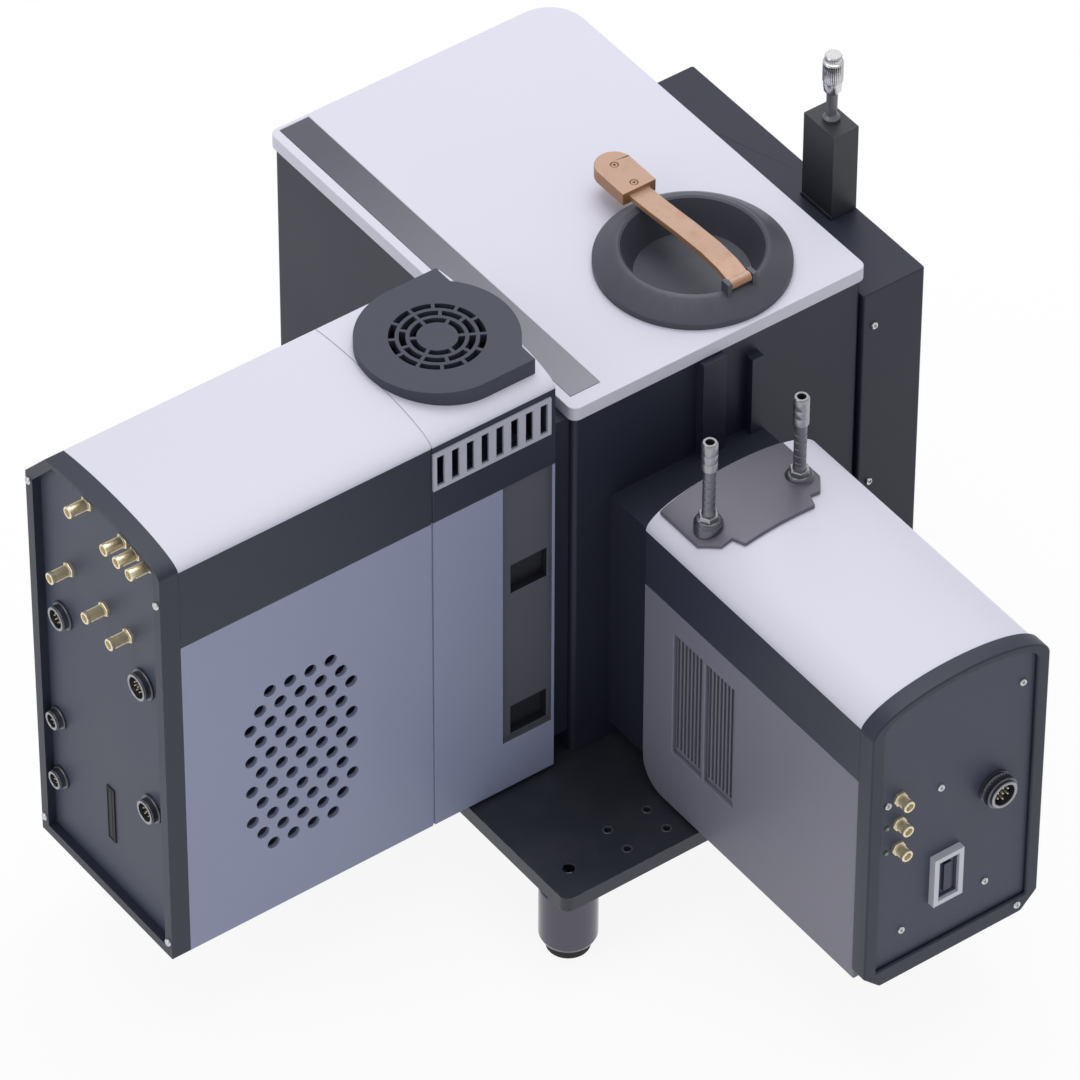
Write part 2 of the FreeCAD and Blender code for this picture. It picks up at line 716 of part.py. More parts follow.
swing_plate = block("swing_plate", "exit_mirror_x", "exit_mirror_y - flat_mirror_thick / 2 / cos(45 deg)",
                    swing_low, "exit_mirror_length", "flat_mirror_thick", "exit_mirror_height", yaw=45)
swing_hub = rod("swing_hub", "exit_mirror_x", "exit_mirror_y", swing_low, "post_radius",
                "exit_mirror_height")
swing_bore = rod("swing_bore", "exit_mirror_x", "exit_mirror_y", swing_low + " - 1",
                 "exit_pin_radius + pin_fit", "exit_mirror_height - 2")
node("exit_mirror", without("exit_mirror_cut", joined("swing_form", swing_plate, swing_hub), swing_bore))

# The slit module behind the body: a hollow dark box that carries the slit cartridge
module_low_x = "half_length - module_length"
module_outer = slab("module_outer", (module_low_x, "case_y", "plate_top"),
                    ("half_length", "module_end", "module_top"))
module_round = rounded("module_round", module_outer, Z_AXIS, 2.0)
module_inner = slab("module_inner", (module_low_x + " + module_wall", "case_y + module_wall",
                                     "plate_top + module_wall"),
                    ("half_length - module_wall", "module_end - module_wall", "module_top - module_wall"))
module_port = rod("module_port", "slit_x", "case_y - 1", "optical_height", "port_radius",
                  "module_end - case_y + 2", "y")
column_low_x = "slit_x - column_length / 2"
cartridge_low_y = "module_end - module_wall - run_gap - cartridge_depth"
module_mouth = slab("module_mouth", (column_low_x + " - run_gap", cartridge_low_y + " - run_gap",
                                     "module_top - module_wall - 1"),
                    ("slit_x + column_length / 2 + run_gap", "module_end - module_wall", "module_top + 1"))
node("slit_module", without("module_cut", module_round, module_inner, module_port, module_mouth))

# The slit cartridge: a column that stands on the module and reaches down to the slit
cartridge_low = "optical_height - cartridge_drop"
column = block("column", column_low_x, "slit_y - column_depth / 2", "module_top",
               "column_length", "column_depth", "column_height")
cartridge = slab("cartridge", (column_low_x, cartridge_low_y, cartridge_low),
                 ("slit_x + column_length / 2", "module_end - module_wall - run_gap", "module_top + 2"))
blade_low = "optical_height - blade_height / 2"
blade_slot = block("blade_slot", column_low_x + " - 1", "slit_y - blade_thick / 2 - run_gap",
                   blade_low + " - run_gap", "column_length + 2", "blade_thick + 2 * run_gap",
                   "blade_height + 2 * run_gap")
slit_bore = rod("slit_bore", "slit_x", "case_y", "optical_height", "slit_bore_radius", "module_depth", "y")
spindle_low = "optical_height + blade_height / 2 + 2 * run_gap"
spindle_bore = rod("spindle_bore", "slit_x", "slit_y", "optical_height", "spindle_radius + pin_fit",
                   "column_top - optical_height + 1")
node("slit_cartridge", without("cartridge_cut", joined("cartridge_form", column, cartridge),
                               blade_slot, slit_bore, spindle_bore))

for label, low_x in (("slit_blade_near", "slit_x + slit_opening / 2"),
                     ("slit_blade_far", "slit_x - slit_opening / 2 - blade_length")):
    blade = block(label + "_plate", low_x, "slit_y - blade_thick / 2", blade_low, "blade_length",
                  "blade_thick", "blade_height")
    node(label, blade)

# The micrometer on the column: a fixed sleeve, and a spindle that carries the turning thimble
thimble_low = "column_top + thimble_lift"
thimble_top = thimble_low + " + thimble_height"
sleeve = turned("sleeve", [
    ("spindle_radius + pin_fit", "0"), ("sleeve_radius + 2", "0"), ("sleeve_radius + 2", "3"),
    ("sleeve_radius", "5"), ("sleeve_radius", "sleeve_height"),
    ("spindle_radius + pin_fit", "sleeve_height")], "slit_x", "slit_y", "column_top")
node("micrometer_sleeve", sleeve)

spindle = rod("spindle", "slit_x", "slit_y", spindle_low, "spindle_radius",
              "%s - 4 - (%s)" % (thimble_top, spindle_low))
node("micrometer_spindle", spindle)

wide_bore, narrow_bore = "sleeve_radius + run_gap", "spindle_radius + pin_fit"
bore_step = "column_top + sleeve_height + 4"
thimble = turned("thimble", [
    (wide_bore, thimble_low), ("thimble_radius - 1", thimble_low),
    ("thimble_radius - 0.4", thimble_low + " + 9"),
    ("thimble_radius", thimble_low + " + 10"), ("thimble_radius", thimble_top + " - 1"),
    ("thimble_radius - 1", thimble_top), ("0", thimble_top), ("0", thimble_top + " - 3.5"),
    (narrow_bore, thimble_top + " - 3.5"), (narrow_bore, bore_step), (wide_bore, bore_step)],
    "slit_x", "slit_y", "0")
node("micrometer_thimble", thimble)

# The entrance flange: a ring with four holes where a light source or fibre holder is bolted
ring = rod("ring", "slit_x", "module_end", "optical_height", "flange_radius", "flange_thick", "y")
ring_bore = rod("ring_bore", "slit_x", "module_end - 1", "optical_height", "port_radius",
                "flange_thick + 2", "y")
ring_holes = [rod("ring_hole", "slit_x + flange_pitch_radius * cos(%d deg)" % angle, "module_end - 1",
                  "optical_height + flange_pitch_radius * sin(%d deg)" % angle,
                  "flange_hole_radius", "flange_thick + 2", "y") for angle in (45, 135, 225, 315)]
node("entrance_flange", without("flange_cut", ring, ring_bore, *ring_holes))

# The left detector: adapter, two side shells, a dark band, a curved white cover, bezel and panel
LEFT_X = ("left_centre - left_half", "left_centre + left_half")
left_seam = "0 - left_front - left_front_length"
left_end = "0 - left_panel_y"
shell_end = "0 - left_shell_end"
left_wall_x = ("left_centre - left_half + shell_wall", "left_centre + left_half - shell_wall")

adapter_x = ("left_centre - left_adapter_width / 2", "left_centre + left_adapter_width / 2")
left_adapter = slab("left_adapter_block", (adapter_x[0], "0 - left_front", "left_base + left_adapter_drop"),
                    (adapter_x[1], "0 - case_y", "cover_top - cover_skirt - run_gap"))
left_bore = rod("left_bore", "left_centre", "0 - left_front - 1", "optical_height",
                "left_bore_radius", "left_front - case_y + 2", "y")
node("left_adapter", without("left_adapter_cut", left_adapter, left_bore))


def side_range(side, depth, over):
    """The x range from a depth inside a side face of the left detector to a little outside it."""
    if side < 0:
        return LEFT_X[0] + " - (%s)" % over, LEFT_X[0] + " + " + depth
    return LEFT_X[1] + " - (%s)" % depth, LEFT_X[1] + " + " + over


def shoulder(name, wall):
    """The room outside the slanted far shoulder, or outside its inner face at a wall's depth."""
    reach = "left_half"
    low = "left_spring - left_shoulder_drop - (%s) / cos(left_shoulder_angle * 1 deg)" % wall
    slope = "tan(left_shoulder_angle * 1 deg)"
    return padded(name, "y", [
        (LEFT_X[0] + " - 10", low + " - 10 * " + slope),
        (LEFT_X[0] + " + " + reach, "%s + %s * %s" % (low, reach, slope)),
        (LEFT_X[0] + " - 10", "%s + %s * %s" % (low, reach, slope))],
        "0 - left_rear - 1", "left_length + 2")


def seam_grooves(low_z, high_z):
    """Upright grooves in both side faces, half of each in the front piece and half in the rear one."""
    grooves = []
    for side in (-1, 1):
        low_x, high_x = side_range(side, "shell_seam_depth", "1")
        grooves.append(slab("seam_groove", (low_x, left_seam + " - shell_seam_width / 2", low_z),
                            (high_x, left_seam + " + shell_seam_width / 2", high_z)))
    return grooves


shoulder_out = shoulder("shoulder_out", "0")
shoulder_in_shell = shoulder("shoulder_in_shell", "shell_wall")
shoulder_in_band = shoulder("shoulder_in_band", "band_wall")

# The front shell has a bay with two blind finger pockets in each side, and a hole for the sensor tube
front_outer = slab("front_outer", (LEFT_X[0], left_seam, "left_base"),
                   (LEFT_X[1], "0 - left_front", "left_band"))
front_inner = slab("front_inner", (left_wall_x[0], left_seam + " - 1", "left_base + shell_wall"),
                   (left_wall_x[1], "0 - left_front - shell_wall", "left_band + 1"))
tube_hole = rod("tube_hole", "left_centre", "0 - left_front - shell_wall - 1", "optical_height",
                "left_sensor_radius + 2", "shell_wall + 2", "y")
bay_low_y = "0 - left_front - bay_inset - bay_length"
pocket_low_y = "0 - left_front - pocket_inset - pocket_length"
liners, bays = [], []
for side in (-1, 1):
    low_x, high_x = side_range(side, "bay_depth + pocket_depth + shell_wall", "0")
    liners.append(slab("liner", (low_x, bay_low_y + " - shell_wall", "left_base"),
                       (high_x, "0 - left_front", "left_band + 1")))
    low_x, high_x = side_range(side, "bay_depth", "1")
    bays.append(slab("bay", (low_x, bay_low_y, "left_base + bay_rise"),
                     (high_x, "0 - left_front - bay_inset", "left_band + 1")))
    low_x, high_x = side_range(side, "bay_depth + pocket_depth", "1")
    for n in (0, 1):
        middle = "(left_base + pocket_middle + %d * pocket_pitch)" % n
        bays.append(slab("pocket", (low_x, pocket_low_y, middle + " - pocket_height / 2"),
                         (high_x, pocket_low_y + " + pocket_length", middle + " + pocket_height / 2")))
front_hollow = without("front_hollow", front_inner, *liners)
shell_grooves = seam_grooves("left_base - 1", "left_band + 1")
node("left_front_shell", without("front_shell_cut", front_outer, front_hollow, tube_hole, *bays,
                                 *shell_grooves))


def vent_field():
    """Round vent holes on a hexagonal field, in eleven upright columns, through both sides."""
    column_pitch = size("vent_hole_pitch") / 2
    row_pitch = size("vent_hole_pitch") * math.sqrt(3) / 2
    middle = FreeCAD.Vector(size("left_centre") - size("left_half") - 1,
                            -size("left_front") - size("vent_hole_y"),
                            size("left_base") + size("vent_hole_z"))
    holes = []
    for step in range(-5, 6):
        count = 4 if abs(step) == 5 else 5 + step % 2
        for n in range(count):
            offset = FreeCAD.Vector(0, step * column_pitch, (2 * n - count + 1) * row_pitch)
            holes.append(Part.makeCylinder(size("vent_hole_radius"), size("left_width") + 2,
                                           middle + offset, X_AXIS))
    return Part.makeCompound(holes)


# The rear shell carries the field of round vent holes
rear_outer = slab("rear_outer", (LEFT_X[0], shell_end, "left_base"), (LEFT_X[1], left_seam, "left_band"))
rear_inner = slab("rear_inner", (left_wall_x[0], shell_end + " - 1", "left_base + shell_wall"),
                  (left_wall_x[1], left_seam + " + 1", "left_band + 1"))
rear_shell = without("rear_shell", rear_outer, rear_inner)
rear_grooves = seam_grooves("left_base - 1", "left_band + 1")
node("left_rear_shell", without("rear_shell_cut", rear_shell, loose("vent_holes", vent_field()),
                                *rear_grooves))

# The band: a dark frame all round, between the shells and the cover, open behind the slot grilles
band_outer = slab("band_outer", (LEFT_X[0], shell_end, "left_band"),
                  (LEFT_X[1], "0 - left_front", "left_spring"))
band_inner = slab("band_inner", (LEFT_X[0] + " + band_wall", shell_end + " - 1", "left_band - 1"),
                  (LEFT_X[1] + " - band_wall", "0 - left_front - band_wall", "left_spring + 1"))
band_form = without("band_form", band_outer, shoulder_out)
band_hollow = without("band_hollow", band_inner, shoulder_in_band)
grille_low_y = "0 - left_front - grille_inset - grille_length"
slot_pitch = "grille_length / 8"
band_gaps, faces, slots = [], [], []
for side in (-1, 1):
    low = "left_spring - grille_drop - grille_height"
    if side < 0:
        low += " - left_shoulder_drop"
    low_x, high_x = side_range(side, "band_wall + 1", "1")
    band_gaps.append(slab("band_gap", (low_x, grille_low_y + " + 3", low + " + 3"),
                          (high_x, grille_low_y + " + grille_length - 3", low + " + grille_height - 3")))
    low_x, high_x = side_range(side, "0", "grille_thick")
    faces.append(slab("face", (low_x, grille_low_y, low),
                      (high_x, grille_low_y + " + grille_length", low + " + grille_height")))
    low_x, high_x = side_range(side, "1", "grille_thick + 1")
    for n in range(8):
        middle = grille_low_y + " + (%d + 0.5) * %s" % (n, slot_pitch)
        slots.append(slab("slot", (low_x, middle + " - grille_slot_width / 2",
                                   low + " + (grille_height - grille_slot_height) / 2"),
                          (high_x, middle + " + grille_slot_width / 2",
                           low + " + (grille_height + grille_slot_height) / 2")))
band_gaps += seam_grooves("left_band - 1", "left_spring + 1")
node("left_band", without("left_band_cut", band_form, band_hollow, *band_gaps))
node("left_slot_grilles", without("grille_cut", grouped("grille_faces", *faces), *slots))

# The curved cover is a thin elliptical roof with a seam across it, closed at the front, and with an
# opening over the fan
left_run = "left_shell_end - left_front"
roof_outer = crown("roof_outer", "y", "left_centre", "left_spring", "left_half", "left_crown",
                   shell_end, left_run)
roof_inner = crown("roof_inner", "y", "left_centre", "left_spring", "left_half - shell_wall",
                   "left_crown - shell_wall", shell_end + " - 1", left_run + " - shell_wall + 1")
above_spring = slab("above_spring", (LEFT_X[0], shell_end, "left_spring"),
                    (LEFT_X[1], "0 - left_front", "left_top + 1"))
fan_opening = rod("fan_opening", "fan_x", "fan_y", "left_spring", "fan_opening_radius", "left_crown + 1")
seam_start = left_seam + " - seam_width / 2"
seam_outer = crown("seam_outer", "y", "left_centre", "left_spring", "left_half + 1", "left_crown + 1",
                   seam_start, "seam_width")
seam_inner = crown("seam_inner", "y", "left_centre", "left_spring", "left_half - seam_depth",
                   "left_crown - seam_depth", seam_start + " - 1", "seam_width + 2")
seam = without("seam", seam_outer, seam_inner)
roof_half = without("roof_half", shared("roof_above", roof_outer, above_spring), shoulder_out)
roof_hollow = without("roof_hollow", roof_inner, shoulder_in_shell)
node("left_cover", without("left_cover_cut", roof_half, roof_hollow, fan_opening, seam))


def ring_slots():
    """Three rings of curved slots, each broken by radial bars, the bars staggered ring by ring."""
    cuts = []
    low, tall = size("left_spring"), size("left_crown") + size("fan_pad_rise") + 1
    middle = FreeCAD.Vector(size("fan_x"), size("fan_y"), low)
    for ring, bars in enumerate((6, 9, 12)):
        inner = size("grille_ring_inner") + ring * size("grille_ring_pitch")
        outer = inner + size("grille_ring_width")
        annulus = Part.makeCylinder(outer, tall, middle).cut(Part.makeCylinder(inner, tall, middle))
        for bar in range(bars):
            spoke = Part.makeBox(outer, 2.2, tall, FreeCAD.Vector(0, -1.1, 0))
            spoke.rotate(FreeCAD.Vector(), Z_AXIS, 360.0 / bars * (bar + 0.5 * (ring % 2)))
            spoke.translate(middle)
            annulus = annulus.cut(spoke)
        cuts += annulus.Solids
    return Part.makeCompound(cuts)


# The fan pad: a round-ended tongue whose underside follows the roof, with the ring slots
pad_top = "left_top + fan_pad_rise"
pad_round = rod("pad_round", "fan_x", "fan_y", "left_spring", "fan_pad_radius", pad_top + " - left_spring")
pad_straight = slab("pad_straight", ("fan_x - fan_pad_radius", "fan_y", "left_spring"),
                    ("fan_x + fan_pad_radius", "0 - left_front - fan_pad_setback", pad_top))
pad_form = joined("pad_form", pad_round, pad_straight)
roof_mate = crown("roof_mate", "y", "left_centre", "left_spring", "left_half", "left_crown",
                  shell_end, left_run)
node("fan_pad", without("fan_pad_cut", pad_form, roof_mate, loose("ring_slots", ring_slots())))

# The fan under the pad: a square frame hung from the roof, and a rotor on the frame's shaft
frame_low = "left_top - shell_wall - fan_frame_depth"
frame_blank = block("frame_blank", "fan_x - fan_frame_size / 2", "fan_y - fan_frame_size / 2", frame_low,
                    "fan_frame_size", "fan_frame_size", "fan_frame_depth + 2")
frame_bore = rod("frame_bore", "fan_x", "fan_y", frame_low + " - 1", "fan_bore_radius", "fan_frame_depth + 6")
under_roof = arched("under_roof", "y", "left_centre", "left_band", "left_spring", "left_half - shell_wall",
                    "left_crown - shell_wall", shell_end, left_run + " - shell_wall")
frame_ring = without("frame_ring", shared("frame_trim", frame_blank, under_roof), frame_bore)
frame_bars = [block("frame_bar_x", "fan_x - fan_frame_size / 2", "fan_y - 3", frame_low,
                    "fan_frame_size", "6", "2"),
              block("frame_bar_y", "fan_x - 3", "fan_y - fan_frame_size / 2", frame_low,
                    "6", "fan_frame_size", "2")]
fan_motor = rod("fan_motor", "fan_x", "fan_y", frame_low, "fan_hub_radius - 2", "3")
fan_shaft = rod("fan_shaft", "fan_x", "fan_y", frame_low, "fan_shaft_radius", "3 + fan_rotor_height - 1")
node("left_fan_frame", joined("fan_frame_done", frame_ring, *frame_bars, fan_motor, fan_shaft))


def rotor():
    """A hub with seven tilted blades and a blind bore for the shaft."""
    low = size("left_top") - size("shell_wall") - size("fan_frame_depth") + 3 + size("run_gap")
    hub_radius, tall = size("fan_hub_radius"), size("fan_rotor_height")
    hub = Part.makeCylinder(hub_radius, tall)
    reach = Part.makeCylinder(size("fan_rotor_radius"), tall)
    blades = []
    for n in range(7):
        blade = Part.makeBox(size("fan_rotor_radius") + 5 - hub_radius / 2, 1.6, 2 * tall,
                             FreeCAD.Vector(hub_radius / 2, -0.8, -tall / 2))
        blade.rotate(FreeCAD.Vector(0, 0, tall / 2), X_AXIS, 38)
        blade.rotate(FreeCAD.Vector(), Z_AXIS, 360.0 / 7 * n)
        blades.append(blade.common(reach))
    bore = Part.makeCylinder(size("fan_shaft_radius") + size("pin_fit"), tall - 0.7)
    shape = hub.multiFuse(blades).cut(bore)
    shape.translate(FreeCAD.Vector(size("fan_x"), size("fan_y"), low))
    return shape


node("fan_rotor", loose("rotor_form", rotor()))

# The deep rear bezel has a window, and a bed behind it that the rear panel lies in
left_frame_outer = arched("left_frame_outer", "y", "left_centre", "left_base", "left_spring", "left_half",
                          "left_crown", "0 - left_rear", "left_bezel")
left_window = arched("left_window", "y", "left_centre", "left_base + window_inset", "left_spring",
                     "left_half - window_inset", "left_crown - window_rise_inset",
                     "0 - left_rear - 1", "left_bezel + 2")
left_bed = arched("left_bed", "y", "left_centre", "left_base + shell_wall", "left_spring",
                  "left_half - band_wall", "left_crown - shell_wall", left_end,
                  "left_panel_y - left_shell_end + 1")
left_frame = without("left_frame", left_frame_outer, shoulder_out)
left_window_cut = without("left_window_cut", left_window, shoulder("shoulder_in_window", "window_inset"))
left_bed_cut = without("left_bed_cut", left_bed, shoulder_in_band)
node("left_bezel_frame", without("left_bezel_cut", left_frame, left_window_cut, left_bed_cut))

left_panel_form = arched("left_panel", "y", "left_centre", "left_base + shell_wall + run_gap", "left_spring",
                         "left_half - band_wall - run_gap", "left_crown - shell_wall - run_gap",
                         left_end, "panel_thick")
left_panel = without("left_panel_trim", left_panel_form,
                     shoulder("shoulder_in_panel", "band_wall + run_gap"))
left_slot = block("left_slot", "left_centre - 4", left_end + " - 1", "left_base + 42", "8",
                  "panel_thick + 2", "44")
node("left_rear_panel", without("left_panel_cut", left_panel, left_slot))

tube = rod("tube", "left_centre", "0 - left_front - left_sensor_length", "optical_height",
           "left_sensor_radius", "left_sensor_length", "y")
tube_face = rod("tube_face", "left_centre", "0 - left_front - glass_thick", "optical_height",
                "glass_radius", "glass_thick + 1", "y")
node("left_sensor_tube", without("left_tube_cut", tube, tube_face))

# The right detector: adapter with the shutter, one shell, band, cover, bezel and panel
RIGHT_Y = ("right_centre - right_half", "right_centre + right_half")
block_y = (RIGHT_Y[0] + " + right_adapter_inset", RIGHT_Y[1] + " - right_adapter_inset")
right_block = slab("right_block", ("case_x", block_y[0], "right_base + right_adapter_inset"),
                   ("right_front", block_y[1], "right_spring - right_adapter_top"))
shutter_x = "(case_x + right_front - shutter_slot) / 2"
shutter_room = slab("shutter_room", (shutter_x, block_y[0] + " + 4", "right_base + right_adapter_inset + 8"),
                    (shutter_x + " + shutter_slot", block_y[1] + " - 4",
                     "right_spring - right_adapter_top - 4"))
right_bore = rod("right_bore", "case_x - 1", "right_centre", "optical_height", "right_bore_radius",
                 "right_front - case_x + 2", "x")
shutter_y, shutter_z = "right_centre - shutter_arm_y", "optical_height + shutter_arm_z"
shutter_pin = rod("shutter_pin", shutter_x + " - 1", shutter_y, shutter_z, "shutter_pin_radius",
                  "shutter_slot + 2", "x")
right_adapter = without("right_adapter_form", right_block, shutter_room, right_bore)
node("right_adapter", joined("right_adapter_done", right_adapter, shutter_pin))

# Two upright clamp bars stand on the adapter against the case
clamps = []
for offset, width, drop in (("wide_clamp_offset", "wide_clamp_width", "0"),
                            ("slim_clamp_offset", "slim_clamp_width", "slim_clamp_drop")):
    clamps.append(slab("clamp", ("case_x", "right_centre + %s - %s / 2" % (offset, width),
                                 "right_spring - right_adapter_top"),
                       ("case_x + clamp_thick", "right_centre + %s + %s / 2" % (offset, width),
                        "cover_top - cover_skirt - clamp_gap - " + drop)))
node("adapter_clamps", grouped("clamp_pair", *clamps))

blade_x = shutter_x + " + (shutter_slot - shutter_thick) / 2"
shutter_disc = rod("shutter_disc", blade_x, "right_centre", "optical_height", "shutter_disc_radius",
                   "shutter_thick", "x")
shutter_hub = rod("shutter_hub", blade_x, shutter_y, shutter_z, "3 * shutter_pin_radius",
                  "shutter_thick", "x")
arm_corners = [("right_centre - 4", "optical_height - 4"), ("right_centre + 4", "optical_height + 4"),
               (shutter_y + " + 4", shutter_z + " + 4"), (shutter_y + " - 4", shutter_z + " - 4")]
shutter_arm = padded("shutter_arm", "x", arm_corners, blade_x, "shutter_thick")
shutter_bore = rod("shutter_bore", blade_x + " - 1", shutter_y, shutter_z,
                   "shutter_pin_radius + pin_fit", "shutter_thick + 2", "x")
node("shutter_blade", without("shutter_cut", joined("shutter_form", shutter_disc, shutter_hub, shutter_arm),
                              shutter_bore))

# The shell has a window for the louvres in each side and a hole for the sensor head
right_wall_y = (RIGHT_Y[0] + " + shell_wall", RIGHT_Y[1] + " - shell_wall")
shell_outer = slab("shell_outer", ("right_front", RIGHT_Y[0], "right_base"),
                   ("right_shell_end", RIGHT_Y[1], "right_band"))
shell_round = rounded("shell_round", shell_outer, Y_AXIS, 0.0,
                      lambda point: point.x < size("right_front") + 1 and point.z < size("right_base") + 1,
                      size("right_shell_round"))
shell_inner = slab("shell_inner", ("right_front + shell_wall", right_wall_y[0], "right_base + shell_wall"),
                   ("right_shell_end + 1", right_wall_y[1], "right_band + 1"))
shell_inner_round = rounded("shell_inner_round", shell_inner, Y_AXIS, 0.0,
                            lambda point: point.x < size("right_front") + 5
                            and point.z < size("right_base") + 5,
                            size("right_shell_round") - size("shell_wall"))
head_hole = rod("head_hole", "right_front - 1", "right_centre", "optical_height",
                "right_sensor_radius + 2", "shell_wall + 2", "x")
vent_windows = [block("vent_window", "right_front + vent_start + %d * (vent_length + vent_bar)" % n,
                      RIGHT_Y[0] + " - 1", "right_base + vent_bottom", "vent_length",
                      "right_width + 2", "vent_height") for n in (0, 1)]
node("right_shell", without("right_shell_cut", shell_round, shell_inner_round, head_hole, *vent_windows))

# A louvre plate lies behind the windows on the inner face of each side
louvre_length = "2 * vent_length + vent_bar + 8"
louvre_plates = [block("louvre_plate", "right_front + vent_start - 4", low_y,
                       "right_base + vent_bottom - 4", louvre_length, "vent_plate_thick",
                       "vent_height + 8")
                 for low_y in (right_wall_y[0], right_wall_y[1] + " - vent_plate_thick")]
louvre_gaps = []
for window in (0, 1):
    for n in range(8):
        gap_x = ("right_front + vent_start + %d * (vent_length + vent_bar) + (%d + 0.5) * vent_length / 8 - 1"
                 % (window, n))
        louvre_gaps.append(block("louvre_gap", gap_x, RIGHT_Y[0], "right_base + vent_bottom + 3", "2",
                                 "right_width", "vent_height - 6"))
node("right_louvres", without("louvres_cut", grouped("louvre_pair", *louvre_plates), *louvre_gaps))

right_band_outer = slab("right_band_outer", ("right_front", RIGHT_Y[0], "right_band"),
                        ("right_shell_end", RIGHT_Y[1], "right_spring"))
right_band_inner = slab("right_band_inner", ("right_front + band_wall", RIGHT_Y[0] + " + band_wall",
                                             "right_band - 1"),
                        ("right_shell_end + 1", RIGHT_Y[1] + " - band_wall", "right_spring + 1"))
node("right_band_frame", without("right_band_cut", right_band_outer, right_band_inner))

right_run = "right_shell_end - right_front"
right_roof = crown("right_roof", "x", "right_centre", "right_spring", "right_half", "right_crown",
                   "right_front", right_run)
right_roof_inner = crown("right_roof_inner", "x", "right_centre", "right_spring", "right_half - shell_wall",
                         "right_crown - shell_wall", "right_front + shell_wall", right_run)
above_right = slab("above_right", ("right_front", RIGHT_Y[0], "right_spring"),
                   ("right_shell_end", RIGHT_Y[1], "right_top + 1"))
node("right_cover", without("right_cover_cut", shared("right_roof_half", right_roof, above_right),
                            right_roof_inner))

# The thick rear bezel swells past the shell and has cut lower corners
swell = "right_half + right_bezel_swell"
bezel_form = arched("bezel_form", "x", "right_centre", "right_base - right_bezel_swell", "right_spring",
                    swell, "right_crown + right_bezel_swell", "right_shell_end", "right_bezel")
doc.recompute()
bezel_cut = doc.addObject("Part::Chamfer", "bezel_cut")
bezel_cut.Base = bezel_form
bezel_cut.Edges = [(number, size("right_bezel_cut"), size("right_bezel_cut"))
                   for number, edge in enumerate(bezel_form.Shape.Edges, start=1)
                   if along(edge, X_AXIS) and edge.CenterOfMass.z < size("right_base")]
bezel_window = arched("bezel_window", "x", "right_centre", "right_base + window_inset + 4", "right_spring",
                      "right_half - window_inset", "right_crown - window_rise_inset",
                      "right_shell_end - 1", "right_bezel + 2")
bezel_bed = arched("bezel_bed", "x", "right_centre", "right_base + window_inset + 4 - right_panel_lap",
                   "right_spring", "right_half - window_inset + right_panel_lap",
                   "right_crown - window_rise_inset + right_panel_lap",
                   "right_shell_end - 1", "right_bezel + 1 - right_panel_inset")
node("right_bezel_frame", without("right_bezel_done", bezel_cut, bezel_window, bezel_bed))

right_panel = arched("right_panel", "x", "right_centre",
                     "right_base + window_inset + 4 - right_panel_lap + run_gap", "right_spring",
                     "right_half - window_inset + right_panel_lap - run_gap",
                     "right_crown - window_rise_inset + right_panel_lap - run_gap",
                     "right_panel_x - panel_thick", "panel_thick")
node("right_rear_panel", right_panel)

head = rod("head", "right_front", "right_centre", "optical_height", "right_sensor_radius",
           "right_sensor_length", "x")
head_face = rod("head_face", "right_front - 1", "right_centre", "optical_height", "glass_radius",
                "glass_thick + 1", "x")
node("right_sensor_head", without("head_cut", head, head_face))

panes = [rod("left_pane", "left_centre", "0 - left_front - glass_thick", "optical_height",
             "glass_radius - run_gap", "glass_thick - run_gap", "y"),
         rod("right_pane", "right_front + run_gap", "right_centre", "optical_height",
             "glass_radius - run_gap", "glass_thick - run_gap", "x")]
node("sensor_windows", grouped("panes", *panes))

# The coolant plate is a thin saddle on the front of the roof, with two upright hose barbs
barb_y = "right_centre + barb_middle"
plate_start = "right_front + coolant_plate_start"
SADDLE = [(0.0, 1.0), (0.638, 1.0), (0.845, 0.804), (0.845, 0.630), (1.0, 0.565)]
saddle_half = [(plate_start + " + %.3f * coolant_plate_length" % x, "%.3f * coolant_plate_half" % y)
               for x, y in SADDLE]
saddle_points = ([(x, "%s - %s" % (barb_y, y)) for x, y in saddle_half]
                 + [(x, "%s + %s" % (barb_y, y)) for x, y in saddle_half[::-1]])
saddle_outline = padded("saddle_outline", "z", saddle_points, "right_spring", "right_crown + 10")
saddle_outer = crown("saddle_outer", "x", "right_centre", "right_spring",
                     "right_half + coolant_plate_thick", "right_crown + coolant_plate_thick",
                     "right_front", right_run)
saddle_shell = without("saddle_shell", saddle_outer, right_roof)
node("coolant_plate", shared("coolant_plate_done", saddle_outline, saddle_shell))


def hose_barb(name, side):
    """A round base, a slim stem and a plain head for a hose; its foot follows the saddle."""
    neck = "barb_height - barb_head_length"
    stem = turned(name, [
        ("0", "0"), ("barb_base_radius", "0"), ("barb_base_radius", "barb_base_height - 2"),
        ("barb_base_radius - 2", "barb_base_height"), ("barb_radius", "barb_base_height"),
        ("barb_radius", neck), ("barb_head_radius", neck), ("barb_head_radius", "barb_height - 1.2"),
        ("barb_head_radius - 0.8", "barb_height"), ("0", "barb_height")],
        "right_front + barb_from_front", "%s + %d * barb_spacing / 2" % (barb_y, side), "right_spring")
    return without(name + "_seated", stem, saddle_outer)


node("hose_barbs", grouped("barb_pair", hose_barb("barb_left", -1), hose_barb("barb_right", 1)))

